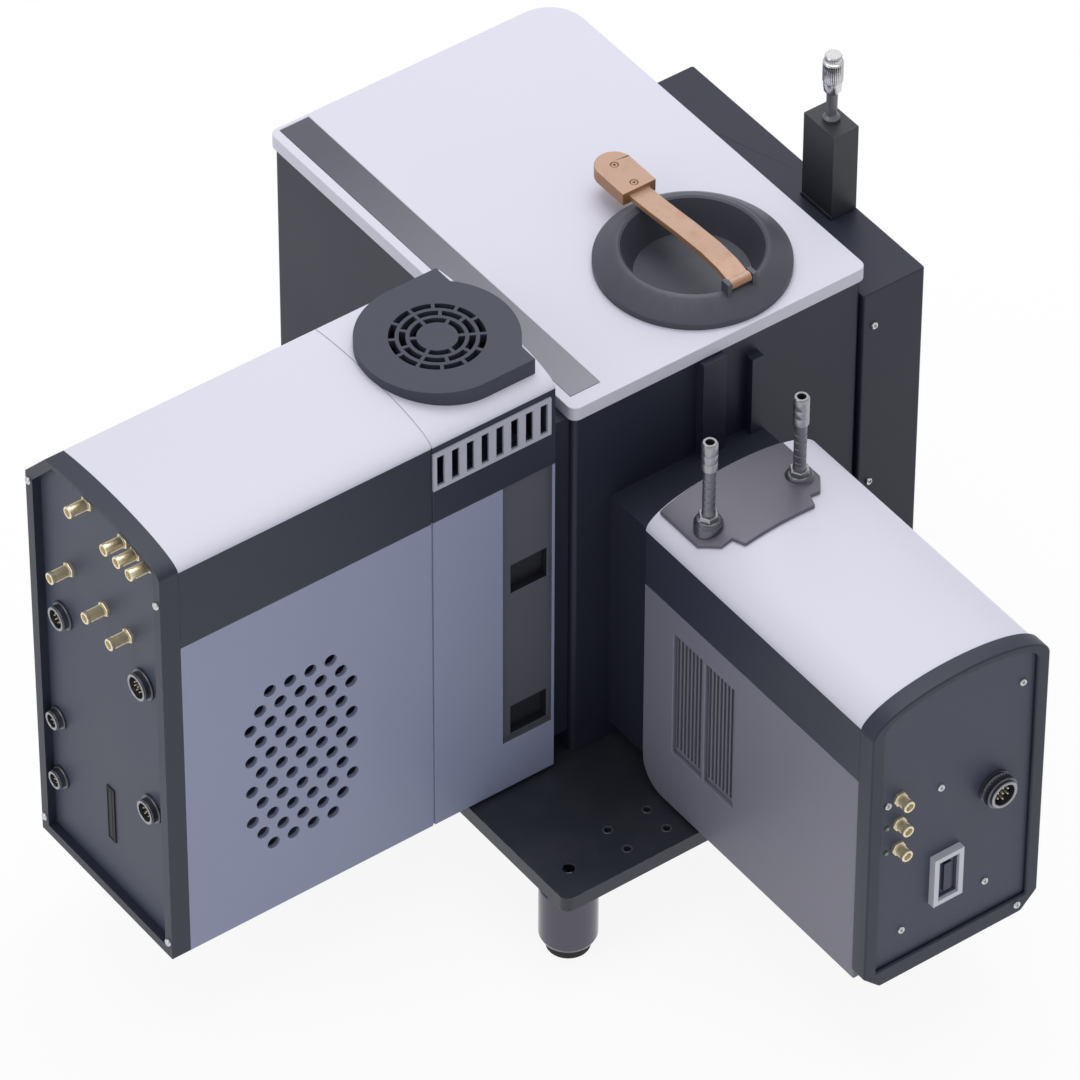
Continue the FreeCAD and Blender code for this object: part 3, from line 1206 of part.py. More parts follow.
# Places on a rear panel are shares of its half width and of its height up to the roof's spring
LEFT_COAX = [(-0.165, 0.996), (0.366, 0.990), (0.553, 0.990), (0.739, 0.990), (-0.495, 0.770),
             (0.029, 0.757), (0.388, 0.750)]
RIGHT_COAX = [(-0.657, 0.711), (-0.657, 0.613), (-0.657, 0.514)]
LEFT_ROUND = [(-0.632, 0.625, 0.9), (0.589, 0.657, 1.0), (0.646, 0.336, 0.9), (-0.775, 0.329, 0.7),
              (-0.775, 0.168, 0.7)]
RIGHT_SCREWS = [(-0.172, 0.666), (0.410, 0.184), (0.755, 0.921), (-0.579, 0.165), (-0.797, 0.704)]


def on_left(across, up):
    return ("left_centre + %.3f * left_half" % across,
            "left_base + %.3f * (left_spring - left_base)" % up)


def on_right(across, up):
    return ("right_centre + %.3f * right_half" % across,
            "right_base + %.3f * (right_spring - right_base)" % up)


# Coaxial connectors on both rear panels, each a ring with a centre pin
def coax(name, x, y, z, axis, length):
    return turned(name, [
        ("0", "0"), ("coax_radius + 1.2", "0"), ("coax_radius + 1.2", "2"), ("coax_radius", "2.6"),
        ("coax_radius", length), ("coax_bore", length), ("coax_bore", "4"),
        ("0.8", "4"), ("0.8", length + " - 2"), ("0", length + " - 2")], x, y, z, axis)


coax_items = []
for spot in LEFT_COAX:
    x, z = on_left(*spot)
    coax_items.append(coax("left_coax", x, left_end, z, "-y", "coax_length"))
for spot in RIGHT_COAX:
    y, z = on_right(*spot)
    coax_items.append(coax("right_coax", "right_panel_x", y, z, "x", "short_coax_length"))
node("coax_connectors", grouped("coax_group", *coax_items))


# Round sockets on the left panel, and a slim upright data socket in its slot
def round_socket(name, across, up, scale):
    radius = "socket_radius * %.1f" % scale
    x, z = on_left(across, up)
    return turned(name, [
        ("0", "0"), (radius, "0"), (radius, "socket_length - 1"), (radius + " - 1", "socket_length"),
        (radius + " - 2", "socket_length"), (radius + " - 2", "2"), ("0", "2")], x, left_end, z, "-y")


sockets = [round_socket("left_socket", *spot) for spot in LEFT_ROUND]
sockets.append(block("data_slot", "left_centre - 4 + run_gap", left_end, "left_base + 42 + run_gap",
                     "8 - 2 * run_gap", "panel_thick", "44 - 2 * run_gap"))
node("left_sockets", grouped("left_socket_group", *sockets))

power_y, power_z = on_right(0.469, 0.560)
power = turned("power", [
    ("0", "0"), ("power_socket_radius", "0"), ("power_socket_radius", "power_socket_length - 4"),
    ("power_socket_radius - 2", "power_socket_length"), ("power_socket_radius - 4", "power_socket_length"),
    ("power_socket_radius - 4", "3"), ("0", "3")], "right_panel_x", power_y, power_z, "x")
node("right_power_socket", power)

data_y, data_z = on_right(-0.258, 0.213)
data_frame = block("data_frame", "right_panel_x", data_y, data_z, "data_socket_depth",
                   "data_socket_width", "data_socket_height")
data_hole = block("data_hole", "right_panel_x + 1.5", data_y + " + data_socket_wall",
                  data_z + " + data_socket_wall", "data_socket_depth",
                  "data_socket_width - 2 * data_socket_wall", "data_socket_height - 2 * data_socket_wall")
node("right_data_socket", without("data_cut", data_frame, data_hole))

# Pan-head screws on the rear panels and bezels and on the end of the slit module
screws = []
for spot in RIGHT_SCREWS:
    y, z = on_right(*spot)
    screws.append(rod("panel_screw", "right_panel_x", y, z, "screw_radius", "screw_head", "x"))
screws.append(rod("bezel_screw", "right_rear", "right_centre + 0.782 * right_half", "right_base + 6",
                  "screw_radius", "screw_head", "x"))
for up in (0.099, 0.407, 0.897):
    screws.append(rod("module_screw", "half_length", "case_y + 9",
                      "plate_top + %.3f * (module_top - plate_top)" % up, "screw_radius", "screw_head", "x"))
for across in (-0.95, 0.95):
    for up in (0.0386, 0.932):
        x, z = on_left(across, up)
        screws.append(rod("left_screw", x, "0 - left_rear - screw_head", z, "screw_radius",
                          "screw_head", "y"))
node("panel_screws", grouped("screw_group", *screws))

# Check the whole document, then write each sub-part
doc.recompute()
faults = [item.Name for item in doc.Objects
          if any(state in ("Invalid", "Error") for state in item.State)]
for item in nodes:
    if item.Shape.isNull() or not item.Shape.isValid() or not item.Shape.Solids:
        faults.append(item.Label)
if faults:
    raise RuntimeError("these did not build: " + ", ".join(faults))
for item in nodes:
    item.Shape.exportStep("parts/%s.step" % item.Label)
    box = item.Shape.BoundBox
    print("%-24s solids %2d  x %7.1f %7.1f  y %7.1f %7.1f  z %6.1f %6.1f  volume %9.0f" % (
        item.Label, len(item.Shape.Solids), box.XMin, box.XMax, box.YMin, box.YMax,
        box.ZMin, box.ZMax, item.Shape.Volume))
print(len(nodes), "nodes, centre", size("centre_x"), size("centre_y"))
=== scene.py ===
# %% [markdown]
# # An optical spectrometer
# This lesson dresses a rigid instrument whose shapes come from CAD. The solids already have the right
# sizes, so the work in Blender is in three parts: soft edges that catch the light, paint and metal that
# look real at the right scale, and the small fittings that are too fine for the CAD model.

# %% Load the CAD frame
import math
import json

import bpy
from mathutils import Matrix, Vector

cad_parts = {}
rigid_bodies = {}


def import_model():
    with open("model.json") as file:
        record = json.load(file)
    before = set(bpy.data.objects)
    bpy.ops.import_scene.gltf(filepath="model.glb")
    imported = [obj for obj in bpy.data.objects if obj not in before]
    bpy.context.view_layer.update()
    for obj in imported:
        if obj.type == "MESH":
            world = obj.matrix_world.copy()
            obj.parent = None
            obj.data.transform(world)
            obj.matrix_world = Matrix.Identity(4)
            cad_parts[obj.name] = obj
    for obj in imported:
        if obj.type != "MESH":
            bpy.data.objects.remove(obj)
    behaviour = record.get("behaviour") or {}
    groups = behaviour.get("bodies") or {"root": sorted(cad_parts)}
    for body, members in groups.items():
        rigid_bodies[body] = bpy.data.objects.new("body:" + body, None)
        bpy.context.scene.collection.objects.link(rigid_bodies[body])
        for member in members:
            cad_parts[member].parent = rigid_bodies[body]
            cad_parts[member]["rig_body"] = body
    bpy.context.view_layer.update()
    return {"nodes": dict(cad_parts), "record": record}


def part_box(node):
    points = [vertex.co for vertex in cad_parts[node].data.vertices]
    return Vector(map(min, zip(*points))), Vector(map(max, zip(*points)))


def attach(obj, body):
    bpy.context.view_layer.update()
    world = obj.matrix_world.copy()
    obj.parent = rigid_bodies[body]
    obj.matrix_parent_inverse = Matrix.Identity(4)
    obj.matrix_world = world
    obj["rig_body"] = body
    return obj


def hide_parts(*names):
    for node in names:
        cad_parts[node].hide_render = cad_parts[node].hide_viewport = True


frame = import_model()
NODES = frame["nodes"]
SLOTS = {part["node"]: part["material_slot"] for part in frame["record"]["subparts"]}
MM = 1000  # millimetres in a metre
print("loaded", len(NODES), "nodes")

# %% [markdown]
# ## The camera
# The photograph was taken from far away with a long lens, so the long edges stay almost parallel. The
# camera stands about 43 degrees above the bench. Its axes are given as three directions, because that
# is exact, and no aim point has to be guessed.

# %% Place the camera
CAMERA_SPOT = Vector((3.1847, -2.3391, 3.9441))
CAMERA_RIGHT = Vector((0.59126, 0.80648, 0.00261))
CAMERA_UP = Vector((-0.55268, 0.40283, 0.72957))

lens = bpy.data.cameras.new("long_lens")
lens.lens = 300
lens.sensor_width = 36
lens.clip_end = 50
camera = bpy.data.objects.new("camera", lens)
bpy.context.scene.collection.objects.link(camera)
axes = Matrix((CAMERA_RIGHT, CAMERA_UP, CAMERA_RIGHT.cross(CAMERA_UP))).transposed()
camera.matrix_world = Matrix.Translation(CAMERA_SPOT) @ axes.to_4x4()
bpy.context.scene.camera = camera
print("camera looks along", -camera.matrix_world.col[2].to_3d())

# %% [markdown]
# ## Floor, world and lamps
# The instrument stands on a plain white sweep. A wide lamp overhead makes the tops the brightest
# faces, a softer lamp fills the side towards the camera, and the white world keeps shadows open. The
# lamps together light a level white surface to just under white, so each paint shows its own colour.


# %% Make the floor and the light
def clear_selection():
    for other in list(bpy.context.selected_objects):
        other.select_set(False)
    bpy.context.view_layer.objects.active = None


def select_only(piece):
    clear_selection()
    piece.select_set(True)
    bpy.context.view_layer.objects.active = piece


FLOOR_SIZE = 60
FLOOR_DROP = 0.0004
WORLD_STRENGTH = 0.6
clear_selection()
bpy.ops.mesh.primitive_plane_add(size=FLOOR_SIZE, location=(0, 0, -FLOOR_DROP))
floor = bpy.context.object
floor.name = "studio_floor"
bpy.ops.object.transform_apply(location=True)

world = bpy.data.worlds.new("studio_white")
bpy.context.scene.world = world
world.use_nodes = True
world_nodes = world.node_tree.nodes
background = world_nodes["Background"]
background.inputs["Color"].default_value = (1, 1, 1, 1)
background.inputs["Strength"].default_value = WORLD_STRENGTH


def lamp(name, spot, aim, size, power):
    """A square soft lamp that faces a point."""
    light = bpy.data.lights.new(name, "AREA")
    light.shape = "SQUARE"
    light.size = size
    light.energy = power
    holder = bpy.data.objects.new(name, light)
    bpy.context.scene.collection.objects.link(holder)
    holder.location = spot
    holder.rotation_euler = (Vector(aim) - Vector(spot)).to_track_quat("-Z", "Y").to_euler()
    return holder


lamps = [lamp("overhead_lamp", spot=(-0.7, 0.5, 3.4), aim=(0, 0, 0.2), size=2.6, power=58),
         lamp("left_side_lamp", spot=(-0.4, -3.2, 1.7), aim=(0, 0, 0.25), size=2.2, power=17),
         lamp("back_rim_lamp", spot=(-2.2, 1.8, 1.6), aim=(0, 0, 0.3), size=1.4, power=9)]
bpy.context.scene.view_settings.view_transform = "Standard"
print("lamps:", [light.name for light in lamps])

# %% [markdown]
# ## Shared effects
# Powder coat, anodising and moulded plastic differ in colour, but they share the same kinds of fine
# detail: a grain with a scale in millimetres, a slow drift of tone over a panel, a little dust on level
# faces, and paler worn edges. Each is a node group, built once, and each material sets its own amounts.


# %% Build the node groups
def new_group(name, inputs, outputs):
    """A shader node group with float, colour or vector sockets."""
    group = bpy.data.node_groups.new(name, "ShaderNodeTree")
    for label, kind, default in inputs:
        socket = group.interface.new_socket(label, in_out="INPUT", socket_type="NodeSocket" + kind)
        if default is not None:
            socket.default_value = default
    for label, kind in outputs:
        group.interface.new_socket(label, in_out="OUTPUT", socket_type="NodeSocket" + kind)
    entry = group.nodes.new("NodeGroupInput")
    leave = group.nodes.new("NodeGroupOutput")
    return group, entry, leave


def add(tree, kind, **settings):
    """A node with its settings, and with the defaults of the inputs given by name or number."""
    node = tree.nodes.new("ShaderNode" + kind)
    for key, value in settings.items():
        if key == "inputs":
            for socket, amount in value.items():
                node.inputs[socket].default_value = amount
        else:
            setattr(node, key, value)
    return node


def join(tree, source, target):
    tree.links.new(source, target)


def noise(tree, vector, scale, detail=2.0, rough=0.5):
    node = add(tree, "TexNoise", inputs={"Detail": detail, "Roughness": rough})
    join(tree, vector, node.inputs["Vector"])
    if isinstance(scale, (int, float)):
        node.inputs["Scale"].default_value = scale
    else:
        join(tree, scale, node.inputs["Scale"])
    return node.outputs["Fac"]


def ramp(tree, value, low, high):
    node = add(tree, "MapRange", inputs={"From Min": low, "From Max": high})
    join(tree, value, node.inputs["Value"])
    return node.outputs["Result"]


def calc(tree, kind, first, second):
    node = add(tree, "Math", operation=kind)
    for socket, value in zip(node.inputs, (first, second)):
        if isinstance(value, (int, float)):
            socket.default_value = value
        else:
            join(tree, value, socket)
    return node.outputs[0]


def mixed(tree, factor, first, second):
    """A colour mix; each colour is a socket or a tuple."""
    node = add(tree, "Mix", data_type="RGBA")
    sockets = (node.inputs["Factor"], node.inputs[6], node.inputs[7])
    for socket, value in zip(sockets, (factor, first, second)):
        if isinstance(value, (int, float, tuple)):
            socket.default_value = value
        else:
            join(tree, value, socket)
    return node.outputs[2]


# Fine grain: a height for bump, and a small swing for roughness
grain_group, entry, leave = new_group(
    "fine_grain", [("Vector", "Vector", None), ("Scale", "Float", 900.0), ("Swing", "Float", 0.08),
                   ("Roughness", "Float", 0.4)], [("Height", "Float"), ("Roughness", "Float")])
fine = noise(grain_group, entry.outputs["Vector"], entry.outputs["Scale"], 3.0, 0.6)
slow = noise(grain_group, entry.outputs["Vector"], 14.0, 3.0)
swing = calc(grain_group, "MULTIPLY", calc(grain_group, "SUBTRACT", slow, 0.5), entry.outputs["Swing"])
fleck = calc(grain_group, "MULTIPLY", calc(grain_group, "SUBTRACT", fine, 0.5), entry.outputs["Swing"])
total = calc(grain_group, "ADD", calc(grain_group, "ADD", swing, fleck), entry.outputs["Roughness"])
join(grain_group, fine, leave.inputs["Height"])
join(grain_group, total, leave.inputs["Roughness"])

# Tone: a colour that drifts slowly over a panel and has faint flecks
tone_group, entry, leave = new_group(
    "panel_tone", [("Vector", "Vector", None), ("Color", "Color", None), ("Drift", "Float", 0.06),
                   ("Fleck", "Float", 0.05), ("Fleck Scale", "Float", 1400.0)], [("Color", "Color")])
slow = noise(tone_group, entry.outputs["Vector"], 7.0, 2.0)
fine = noise(tone_group, entry.outputs["Vector"], entry.outputs["Fleck Scale"], 1.0)
drift = calc(tone_group, "MULTIPLY", calc(tone_group, "SUBTRACT", slow, 0.5), entry.outputs["Drift"])
fleck = calc(tone_group, "MULTIPLY", calc(tone_group, "SUBTRACT", fine, 0.5), entry.outputs["Fleck"])
level = calc(tone_group, "ADD", calc(tone_group, "ADD", drift, fleck), 1.0)
scaled = add(tone_group, "VectorMath", operation="SCALE")
join(tone_group, entry.outputs["Color"], scaled.inputs[0])
join(tone_group, level, scaled.inputs["Scale"])
join(tone_group, scaled.outputs[0], leave.inputs["Color"])

# Dust: a patchy veil on faces that look up
dust_group, entry, leave = new_group(
    "level_dust", [("Vector", "Vector", None), ("Color", "Color", None), ("Amount", "Float", 0.1)],
    [("Color", "Color"), ("Mask", "Float")])
geometry = add(dust_group, "NewGeometry")
normal = add(dust_group, "SeparateXYZ")
join(dust_group, geometry.outputs["Normal"], normal.inputs[0])
level = ramp(dust_group, normal.outputs["Z"], 0.5, 0.98)
patch = ramp(dust_group, noise(dust_group, entry.outputs["Vector"], 22.0, 5.0, 0.65), 0.4, 0.75)
DUST_TONE = (0.62, 0.61, 0.6, 1)
mask = calc(dust_group, "MULTIPLY", calc(dust_group, "MULTIPLY", level, patch), entry.outputs["Amount"])
join(dust_group, mixed(dust_group, mask, entry.outputs["Color"], DUST_TONE), leave.inputs["Color"])
join(dust_group, mask, leave.inputs["Mask"])

# Worn edges: where a rounded normal departs from the true one, the finish is rubbed paler
wear_group, entry, leave = new_group(
    "worn_edge", [("Vector", "Vector", None), ("Color", "Color", None), ("Worn Color", "Color", None),
                  ("Amount", "Float", 0.3)], [("Color", "Color"), ("Mask", "Float")])
rounding = add(wear_group, "Bevel", samples=4, inputs={"Radius": 0.0012})
true_normal = add(wear_group, "NewGeometry")
facing = add(wear_group, "VectorMath", operation="DOT_PRODUCT")
join(wear_group, rounding.outputs["Normal"], facing.inputs[0])
join(wear_group, true_normal.outputs["Normal"], facing.inputs[1])
edge = ramp(wear_group, facing.outputs["Value"], 0.985, 0.86)
rub = ramp(wear_group, noise(wear_group, entry.outputs["Vector"], 120.0, 4.0, 0.7), 0.42, 0.62)
mask = calc(wear_group, "MULTIPLY", calc(wear_group, "MULTIPLY", edge, rub), entry.outputs["Amount"])
join(wear_group, mixed(wear_group, mask, entry.outputs["Color"], entry.outputs["Worn Color"]),
     leave.inputs["Color"])
join(wear_group, mask, leave.inputs["Mask"])
print("node groups:", [group.name for group in bpy.data.node_groups])

# %% [markdown]
# ## Paint, anodising and plastic
# One function builds every opaque finish: tone, dust and wear feed Base Color, and grain feeds
# Roughness and a Bump. What differs between the finishes is only numbers, so they are easy to compare.


# %% Write the finish function
def finish(name, color, rough, metal=0.0, grain=900.0, bump=0.05, swing=0.08, drift=0.06, fleck=0.05,
           dust=0.0, wear=0.0, worn=(0.5, 0.5, 0.52), coat=0.0, shine=0.5, axis_grain=None):
    """An opaque finish on Object coordinates. axis_grain stretches the grain along one axis."""
    material = bpy.data.materials.new(name)
    material.use_nodes = True
    tree = material.node_tree
    shader = tree.nodes["Principled BSDF"]
    shader.inputs["Metallic"].default_value = metal
    shader.inputs["Specular IOR Level"].default_value = shine
    shader.inputs["Coat Weight"].default_value = coat
    shader.inputs["Coat Roughness"].default_value = 0.12
    place = add(tree, "TexCoord").outputs["Object"]
    stretched = place
    if axis_grain:
        mapping = add(tree, "Mapping", inputs={"Scale": axis_grain})
        join(tree, place, mapping.inputs["Vector"])
        stretched = mapping.outputs["Vector"]
    tone = add(tree, "Group", node_tree=tone_group,
               inputs={"Color": (*color, 1), "Drift": drift, "Fleck": fleck, "Fleck Scale": grain * 1.5})
    join(tree, stretched, tone.inputs["Vector"])
    grains = add(tree, "Group", node_tree=grain_group,
                 inputs={"Scale": grain, "Swing": swing, "Roughness": rough})
    join(tree, stretched, grains.inputs["Vector"])
    paint = tone.outputs["Color"]
    if wear:
        worn_edge = add(tree, "Group", node_tree=wear_group,
                        inputs={"Worn Color": (*worn, 1), "Amount": wear})
        join(tree, place, worn_edge.inputs["Vector"])
        join(tree, paint, worn_edge.inputs["Color"])
        paint = worn_edge.outputs["Color"]
    if dust:
        veil = add(tree, "Group", node_tree=dust_group, inputs={"Amount": dust})
        join(tree, place, veil.inputs["Vector"])
        join(tree, paint, veil.inputs["Color"])
        paint = veil.outputs["Color"]
    join(tree, paint, shader.inputs["Base Color"])
    join(tree, grains.outputs["Roughness"], shader.inputs["Roughness"])
    relief = add(tree, "Bump", inputs={"Strength": bump, "Distance": 0.0004})
    join(tree, grains.outputs["Height"], relief.inputs["Height"])
    join(tree, relief.outputs["Normal"], shader.inputs["Normal"])
    return material


# %% [markdown]
# The cool white of the covers, the blue-grey of the left side, the greys of the right side and the
# near-black of the case are all satin powder coats. Their grain is about a millimetre across.

# %% Make the paints
cover_white = finish("cover_white_paint", (0.62, 0.615, 0.725), 0.42, bump=0.04, drift=0.03, fleck=0.02,
                     dust=0.03)
side_blue = finish("blue_grey_paint", (0.28, 0.305, 0.45), 0.45, bump=0.05, wear=0.2)
side_grey = finish("mid_grey_paint", (0.176, 0.173, 0.228), 0.45, bump=0.05, wear=0.2)
case_black = finish("case_black_paint", (0.02, 0.0225, 0.042), 0.48, bump=0.08, wear=0.2, shine=0.32,
                    worn=(0.12, 0.12, 0.16))
column_black = finish("column_black_anodised", (0.034, 0.036, 0.044), 0.45, bump=0.06, wear=0.25,
                      shine=0.35, worn=(0.16, 0.16, 0.19))
band_dark = finish("band_dark_paint", (0.026, 0.031, 0.052), 0.42, bump=0.06, wear=0.25, shine=0.32,
                   worn=(0.18, 0.18, 0.22))
panel_dark = finish("rear_panel_paint", (0.05, 0.058, 0.092), 0.5, bump=0.08, drift=0.1, shine=0.4)
plate_black = finish("plate_black_anodised", (0.036, 0.04, 0.055), 0.38, metal=0.3, bump=0.05, dust=0.04,
                     wear=0.35, worn=(0.3, 0.3, 0.34))
cap_grey = finish("cap_grey_anodised", (0.065, 0.068, 0.09), 0.45, metal=0.2, bump=0.08, dust=0.03,
                  wear=0.3, worn=(0.22, 0.23, 0.28))
pad_grey = finish("fan_pad_moulding", (0.048, 0.052, 0.078), 0.5, grain=700, bump=0.12, shine=0.3)
frame_light = finish("light_grille_frame", (0.5, 0.51, 0.6), 0.4, metal=0.2, bump=0.04)
recess_grey = finish("bay_dark_paint", (0.098, 0.1, 0.128), 0.48, bump=0.08)
pocket_black = finish("pocket_black_paint", (0.012, 0.013, 0.02), 0.6, bump=0.08)
louvre_grey = finish("louvre_grey_paint", (0.16, 0.16, 0.2), 0.5, bump=0.05)
saddle_grey = finish("coolant_saddle_anodised", (0.125, 0.12, 0.15), 0.4, metal=0.2, bump=0.06, wear=0.3,
                     worn=(0.32, 0.32, 0.36))
print("paints:", len(bpy.data.materials))

# %% [markdown]
# The label strip is darker at its far end and paler near the cap. The drift is along the strip, so it
# comes from the X of the Object coordinates through a Map Range node.

# %% Make the strip's finish
strip_grey = finish("label_strip_satin", (0.1, 0.1, 0.13), 0.34, metal=0.3, bump=0.03,
                    axis_grain=(0.05, 1, 1))
tree = strip_grey.node_tree
shader = tree.nodes["Principled BSDF"]
along = add(tree, "SeparateXYZ")
join(tree, add(tree, "TexCoord").outputs["Object"], along.inputs[0])
FAR_TONE, NEAR_TONE = (0.075, 0.075, 0.1, 1), (0.24, 0.24, 0.28, 1)
STRIP_FAR_X, STRIP_NEAR_X = -0.26, 0.01
share = ramp(tree, along.outputs["X"], STRIP_FAR_X, STRIP_NEAR_X)
join(tree, mixed(tree, share, FAR_TONE, NEAR_TONE), shader.inputs["Base Color"])
print("strip finished")

# %% [markdown]
# The turned steel gets a stretched grain, because turning, grinding and brushing leave fine parallel lines.
# The lift lever is anodised in a copper tone, and the coaxial connectors have a pale gold plating.

# %% Make the metals
steel = finish("turned_steel", (0.66, 0.66, 0.68), 0.24, metal=1.0, grain=500, bump=0.06, fleck=0.1,
               axis_grain=(1, 1, 0.06))
stem_metal = finish("hose_stem_nickel", (0.34, 0.34, 0.36), 0.28, metal=0.9, grain=500, bump=0.05)
dull_metal = finish("grey_machined_metal", (0.19, 0.19, 0.215), 0.42, metal=0.9, bump=0.06)
chrome_dark = finish("dark_chrome", (0.105, 0.1, 0.125), 0.12, metal=1.0, grain=300, bump=0.01, swing=0.04)
nut_dark = finish("dark_nut_metal", (0.13, 0.13, 0.155), 0.3, metal=0.8, grain=500, bump=0.04)
gold = finish("pale_gold_plating", (0.86, 0.76, 0.54), 0.3, metal=0.75, grain=700, bump=0.03)
print("metals:", [metal.name for metal in (steel, stem_metal, dull_metal, chrome_dark, nut_dark, gold)])

# %% [markdown]
# The faces of the lever that look up are painted paler in patches, as a painted highlight, and its sides
# keep the deeper colour. The dust group's test of which faces look up is built again here, with its own
# pale tone.

# %% Make the lever's finish
copper = finish("copper_anodised", (0.36, 0.185, 0.095), 0.38, metal=0.2, grain=700, bump=0.05, wear=0.3,
                worn=(0.8, 0.6, 0.44))
tree = copper.node_tree
shader = tree.nodes["Principled BSDF"]
deep_tone = shader.inputs["Base Color"].links[0].from_socket
geometry = add(tree, "NewGeometry")
upward = add(tree, "SeparateXYZ")
join(tree, geometry.outputs["Normal"], upward.inputs[0])
patchy = noise(tree, add(tree, "TexCoord").outputs["Object"], 60.0, 4.0, 0.6)
# Painted highlight: the faces that look up are mixed towards a paler tone, in patches.
top = calc(tree, "MULTIPLY", ramp(tree, upward.outputs["Z"], 0.45, 0.85), ramp(tree, patchy, 0.1, 0.5))
PAINTED_HIGHLIGHT_TONE = (0.46, 0.295, 0.215, 1)
join(tree, mixed(tree, top, deep_tone, PAINTED_HIGHLIGHT_TONE), shader.inputs["Base Color"])
print("lever finished")

# %% [markdown]
# Plastic and rubber take no wear tone: they are dyed through, so a rubbed edge keeps their colour. The
# black moulding is glossy enough to show its ribs, and the rubber of the feet is dull and coarse.

# %% Make the plastics and rubber
black_plastic = finish("black_moulding", (0.012, 0.012, 0.014), 0.42, grain=800, bump=0.1)
rubber = finish("foot_rubber", (0.02, 0.02, 0.021), 0.75, grain=500, bump=0.2)
white_plastic = finish("white_moulding", (0.6, 0.61, 0.68), 0.3, grain=800, bump=0.03, fleck=0.02)
blue_plastic = finish("socket_insert_blue", (0.018, 0.022, 0.06), 0.35, grain=800, bump=0.03)
# The near black of holes is painted shade, not a dyed plastic: it goes on the floors of screw sockets, the
# bores of the hose stems and the floors of the thread inserts.
painted_hole_shade = finish("painted_shade_in_holes", (0.006, 0.006, 0.007), 0.8, bump=0.05)
green_lamp = finish("status_lamp_green", (0.22, 0.42, 0.16), 0.25, grain=600, bump=0.02, coat=0.5)
print("plastics:", [plastic.name for plastic in (black_plastic, rubber, white_plastic, blue_plastic)])

# %% [markdown]
# ## Gratings, mirrors and windows
# A grating scatters light into colours because of its fine grooves. Here a wave texture stands for the
# grooves in the bump, and a slow colour ramp across the plate gives the faint rainbow. Mirrors are
# smooth metal, and the sensor windows are clear glass with a plain transmission.

# %% Make the optical finishes
grating = finish("ruled_grating", (0.8, 0.8, 0.82), 0.12, metal=1.0, bump=0.0)
tree = grating.node_tree
place = add(tree, "TexCoord").outputs["Object"]
grooves = add(tree, "TexWave", bands_direction="Z", inputs={"Scale": 900.0})
join(tree, place, grooves.inputs["Vector"])
rainbow = add(tree, "TexWave", bands_direction="Z", inputs={"Scale": 9.0, "Distortion": 0.6})
join(tree, place, rainbow.inputs["Vector"])
colors = add(tree, "ValToRGB")
colors.color_ramp.elements[0].color = (0.45, 0.6, 0.95, 1)
colors.color_ramp.elements[1].color = (0.95, 0.6, 0.45, 1)
middle = colors.color_ramp.elements.new(0.5)
middle.color = (0.6, 0.9, 0.6, 1)
join(tree, rainbow.outputs["Fac"], colors.inputs["Fac"])
join(tree, colors.outputs["Color"], tree.nodes["Principled BSDF"].inputs["Base Color"])
relief = add(tree, "Bump", inputs={"Strength": 0.2, "Distance": 0.0001})
join(tree, grooves.outputs["Fac"], relief.inputs["Height"])
join(tree, relief.outputs["Normal"], tree.nodes["Principled BSDF"].inputs["Normal"])

mirror_coat = finish("mirror_coating", (0.88, 0.89, 0.91), 0.04, metal=1.0, bump=0.0, swing=0.02,
                     drift=0.02, fleck=0.0)

window_glass = bpy.data.materials.new("window_glass")
window_glass.use_nodes = True
glass_shader = window_glass.node_tree.nodes["Principled BSDF"]
glass_shader.inputs["Base Color"].default_value = (0.86, 0.9, 0.95, 1)
glass_shader.inputs["Roughness"].default_value = 0.02
glass_shader.inputs["IOR"].default_value = 1.46
glass_shader.inputs["Transmission Weight"].default_value = 1.0
print("materials:", len(bpy.data.materials))

# %% [markdown]
# ## The floor's finish
# The floor is white paper. For the rays that come straight from the camera, or that a polished foot
# mirrors, part of its light is replaced by an even white glow. The page around the instrument then stays
# white, the soft shadow stays on it, and no extra light falls on the instrument.

# %% Finish the floor
floor_white = finish("floor_white_paper", (0.93, 0.93, 0.93), 0.9, bump=0.0, drift=0.0, fleck=0.0)
FLOOR_GLOW = 0.9
tree = floor_white.node_tree
ray = add(tree, "LightPath")
glow = add(tree, "Emission", inputs={"Color": (1, 1, 1, 1), "Strength": 1.0})
seen = calc(tree, "MAXIMUM", ray.outputs["Is Camera Ray"], ray.outputs["Is Glossy Ray"])
seen = calc(tree, "MAXIMUM", seen, ray.outputs["Is Transmission Ray"])
blend_in = add(tree, "MixShader")
join(tree, calc(tree, "MULTIPLY", seen, FLOOR_GLOW), blend_in.inputs["Fac"])
join(tree, tree.nodes["Principled BSDF"].outputs["BSDF"], blend_in.inputs[1])
join(tree, glow.outputs["Emission"], blend_in.inputs[2])
join(tree, blend_in.outputs["Shader"], tree.nodes["Material Output"].inputs["Surface"])
floor.data.materials.append(floor_white)
print("floor finished")

# %% [markdown]
# ## Give every CAD node its finish
# A node whose shape is right stays as it is and only gets its finish. The nodes are named after the
# pieces of the object, so this table reads as its parts list.

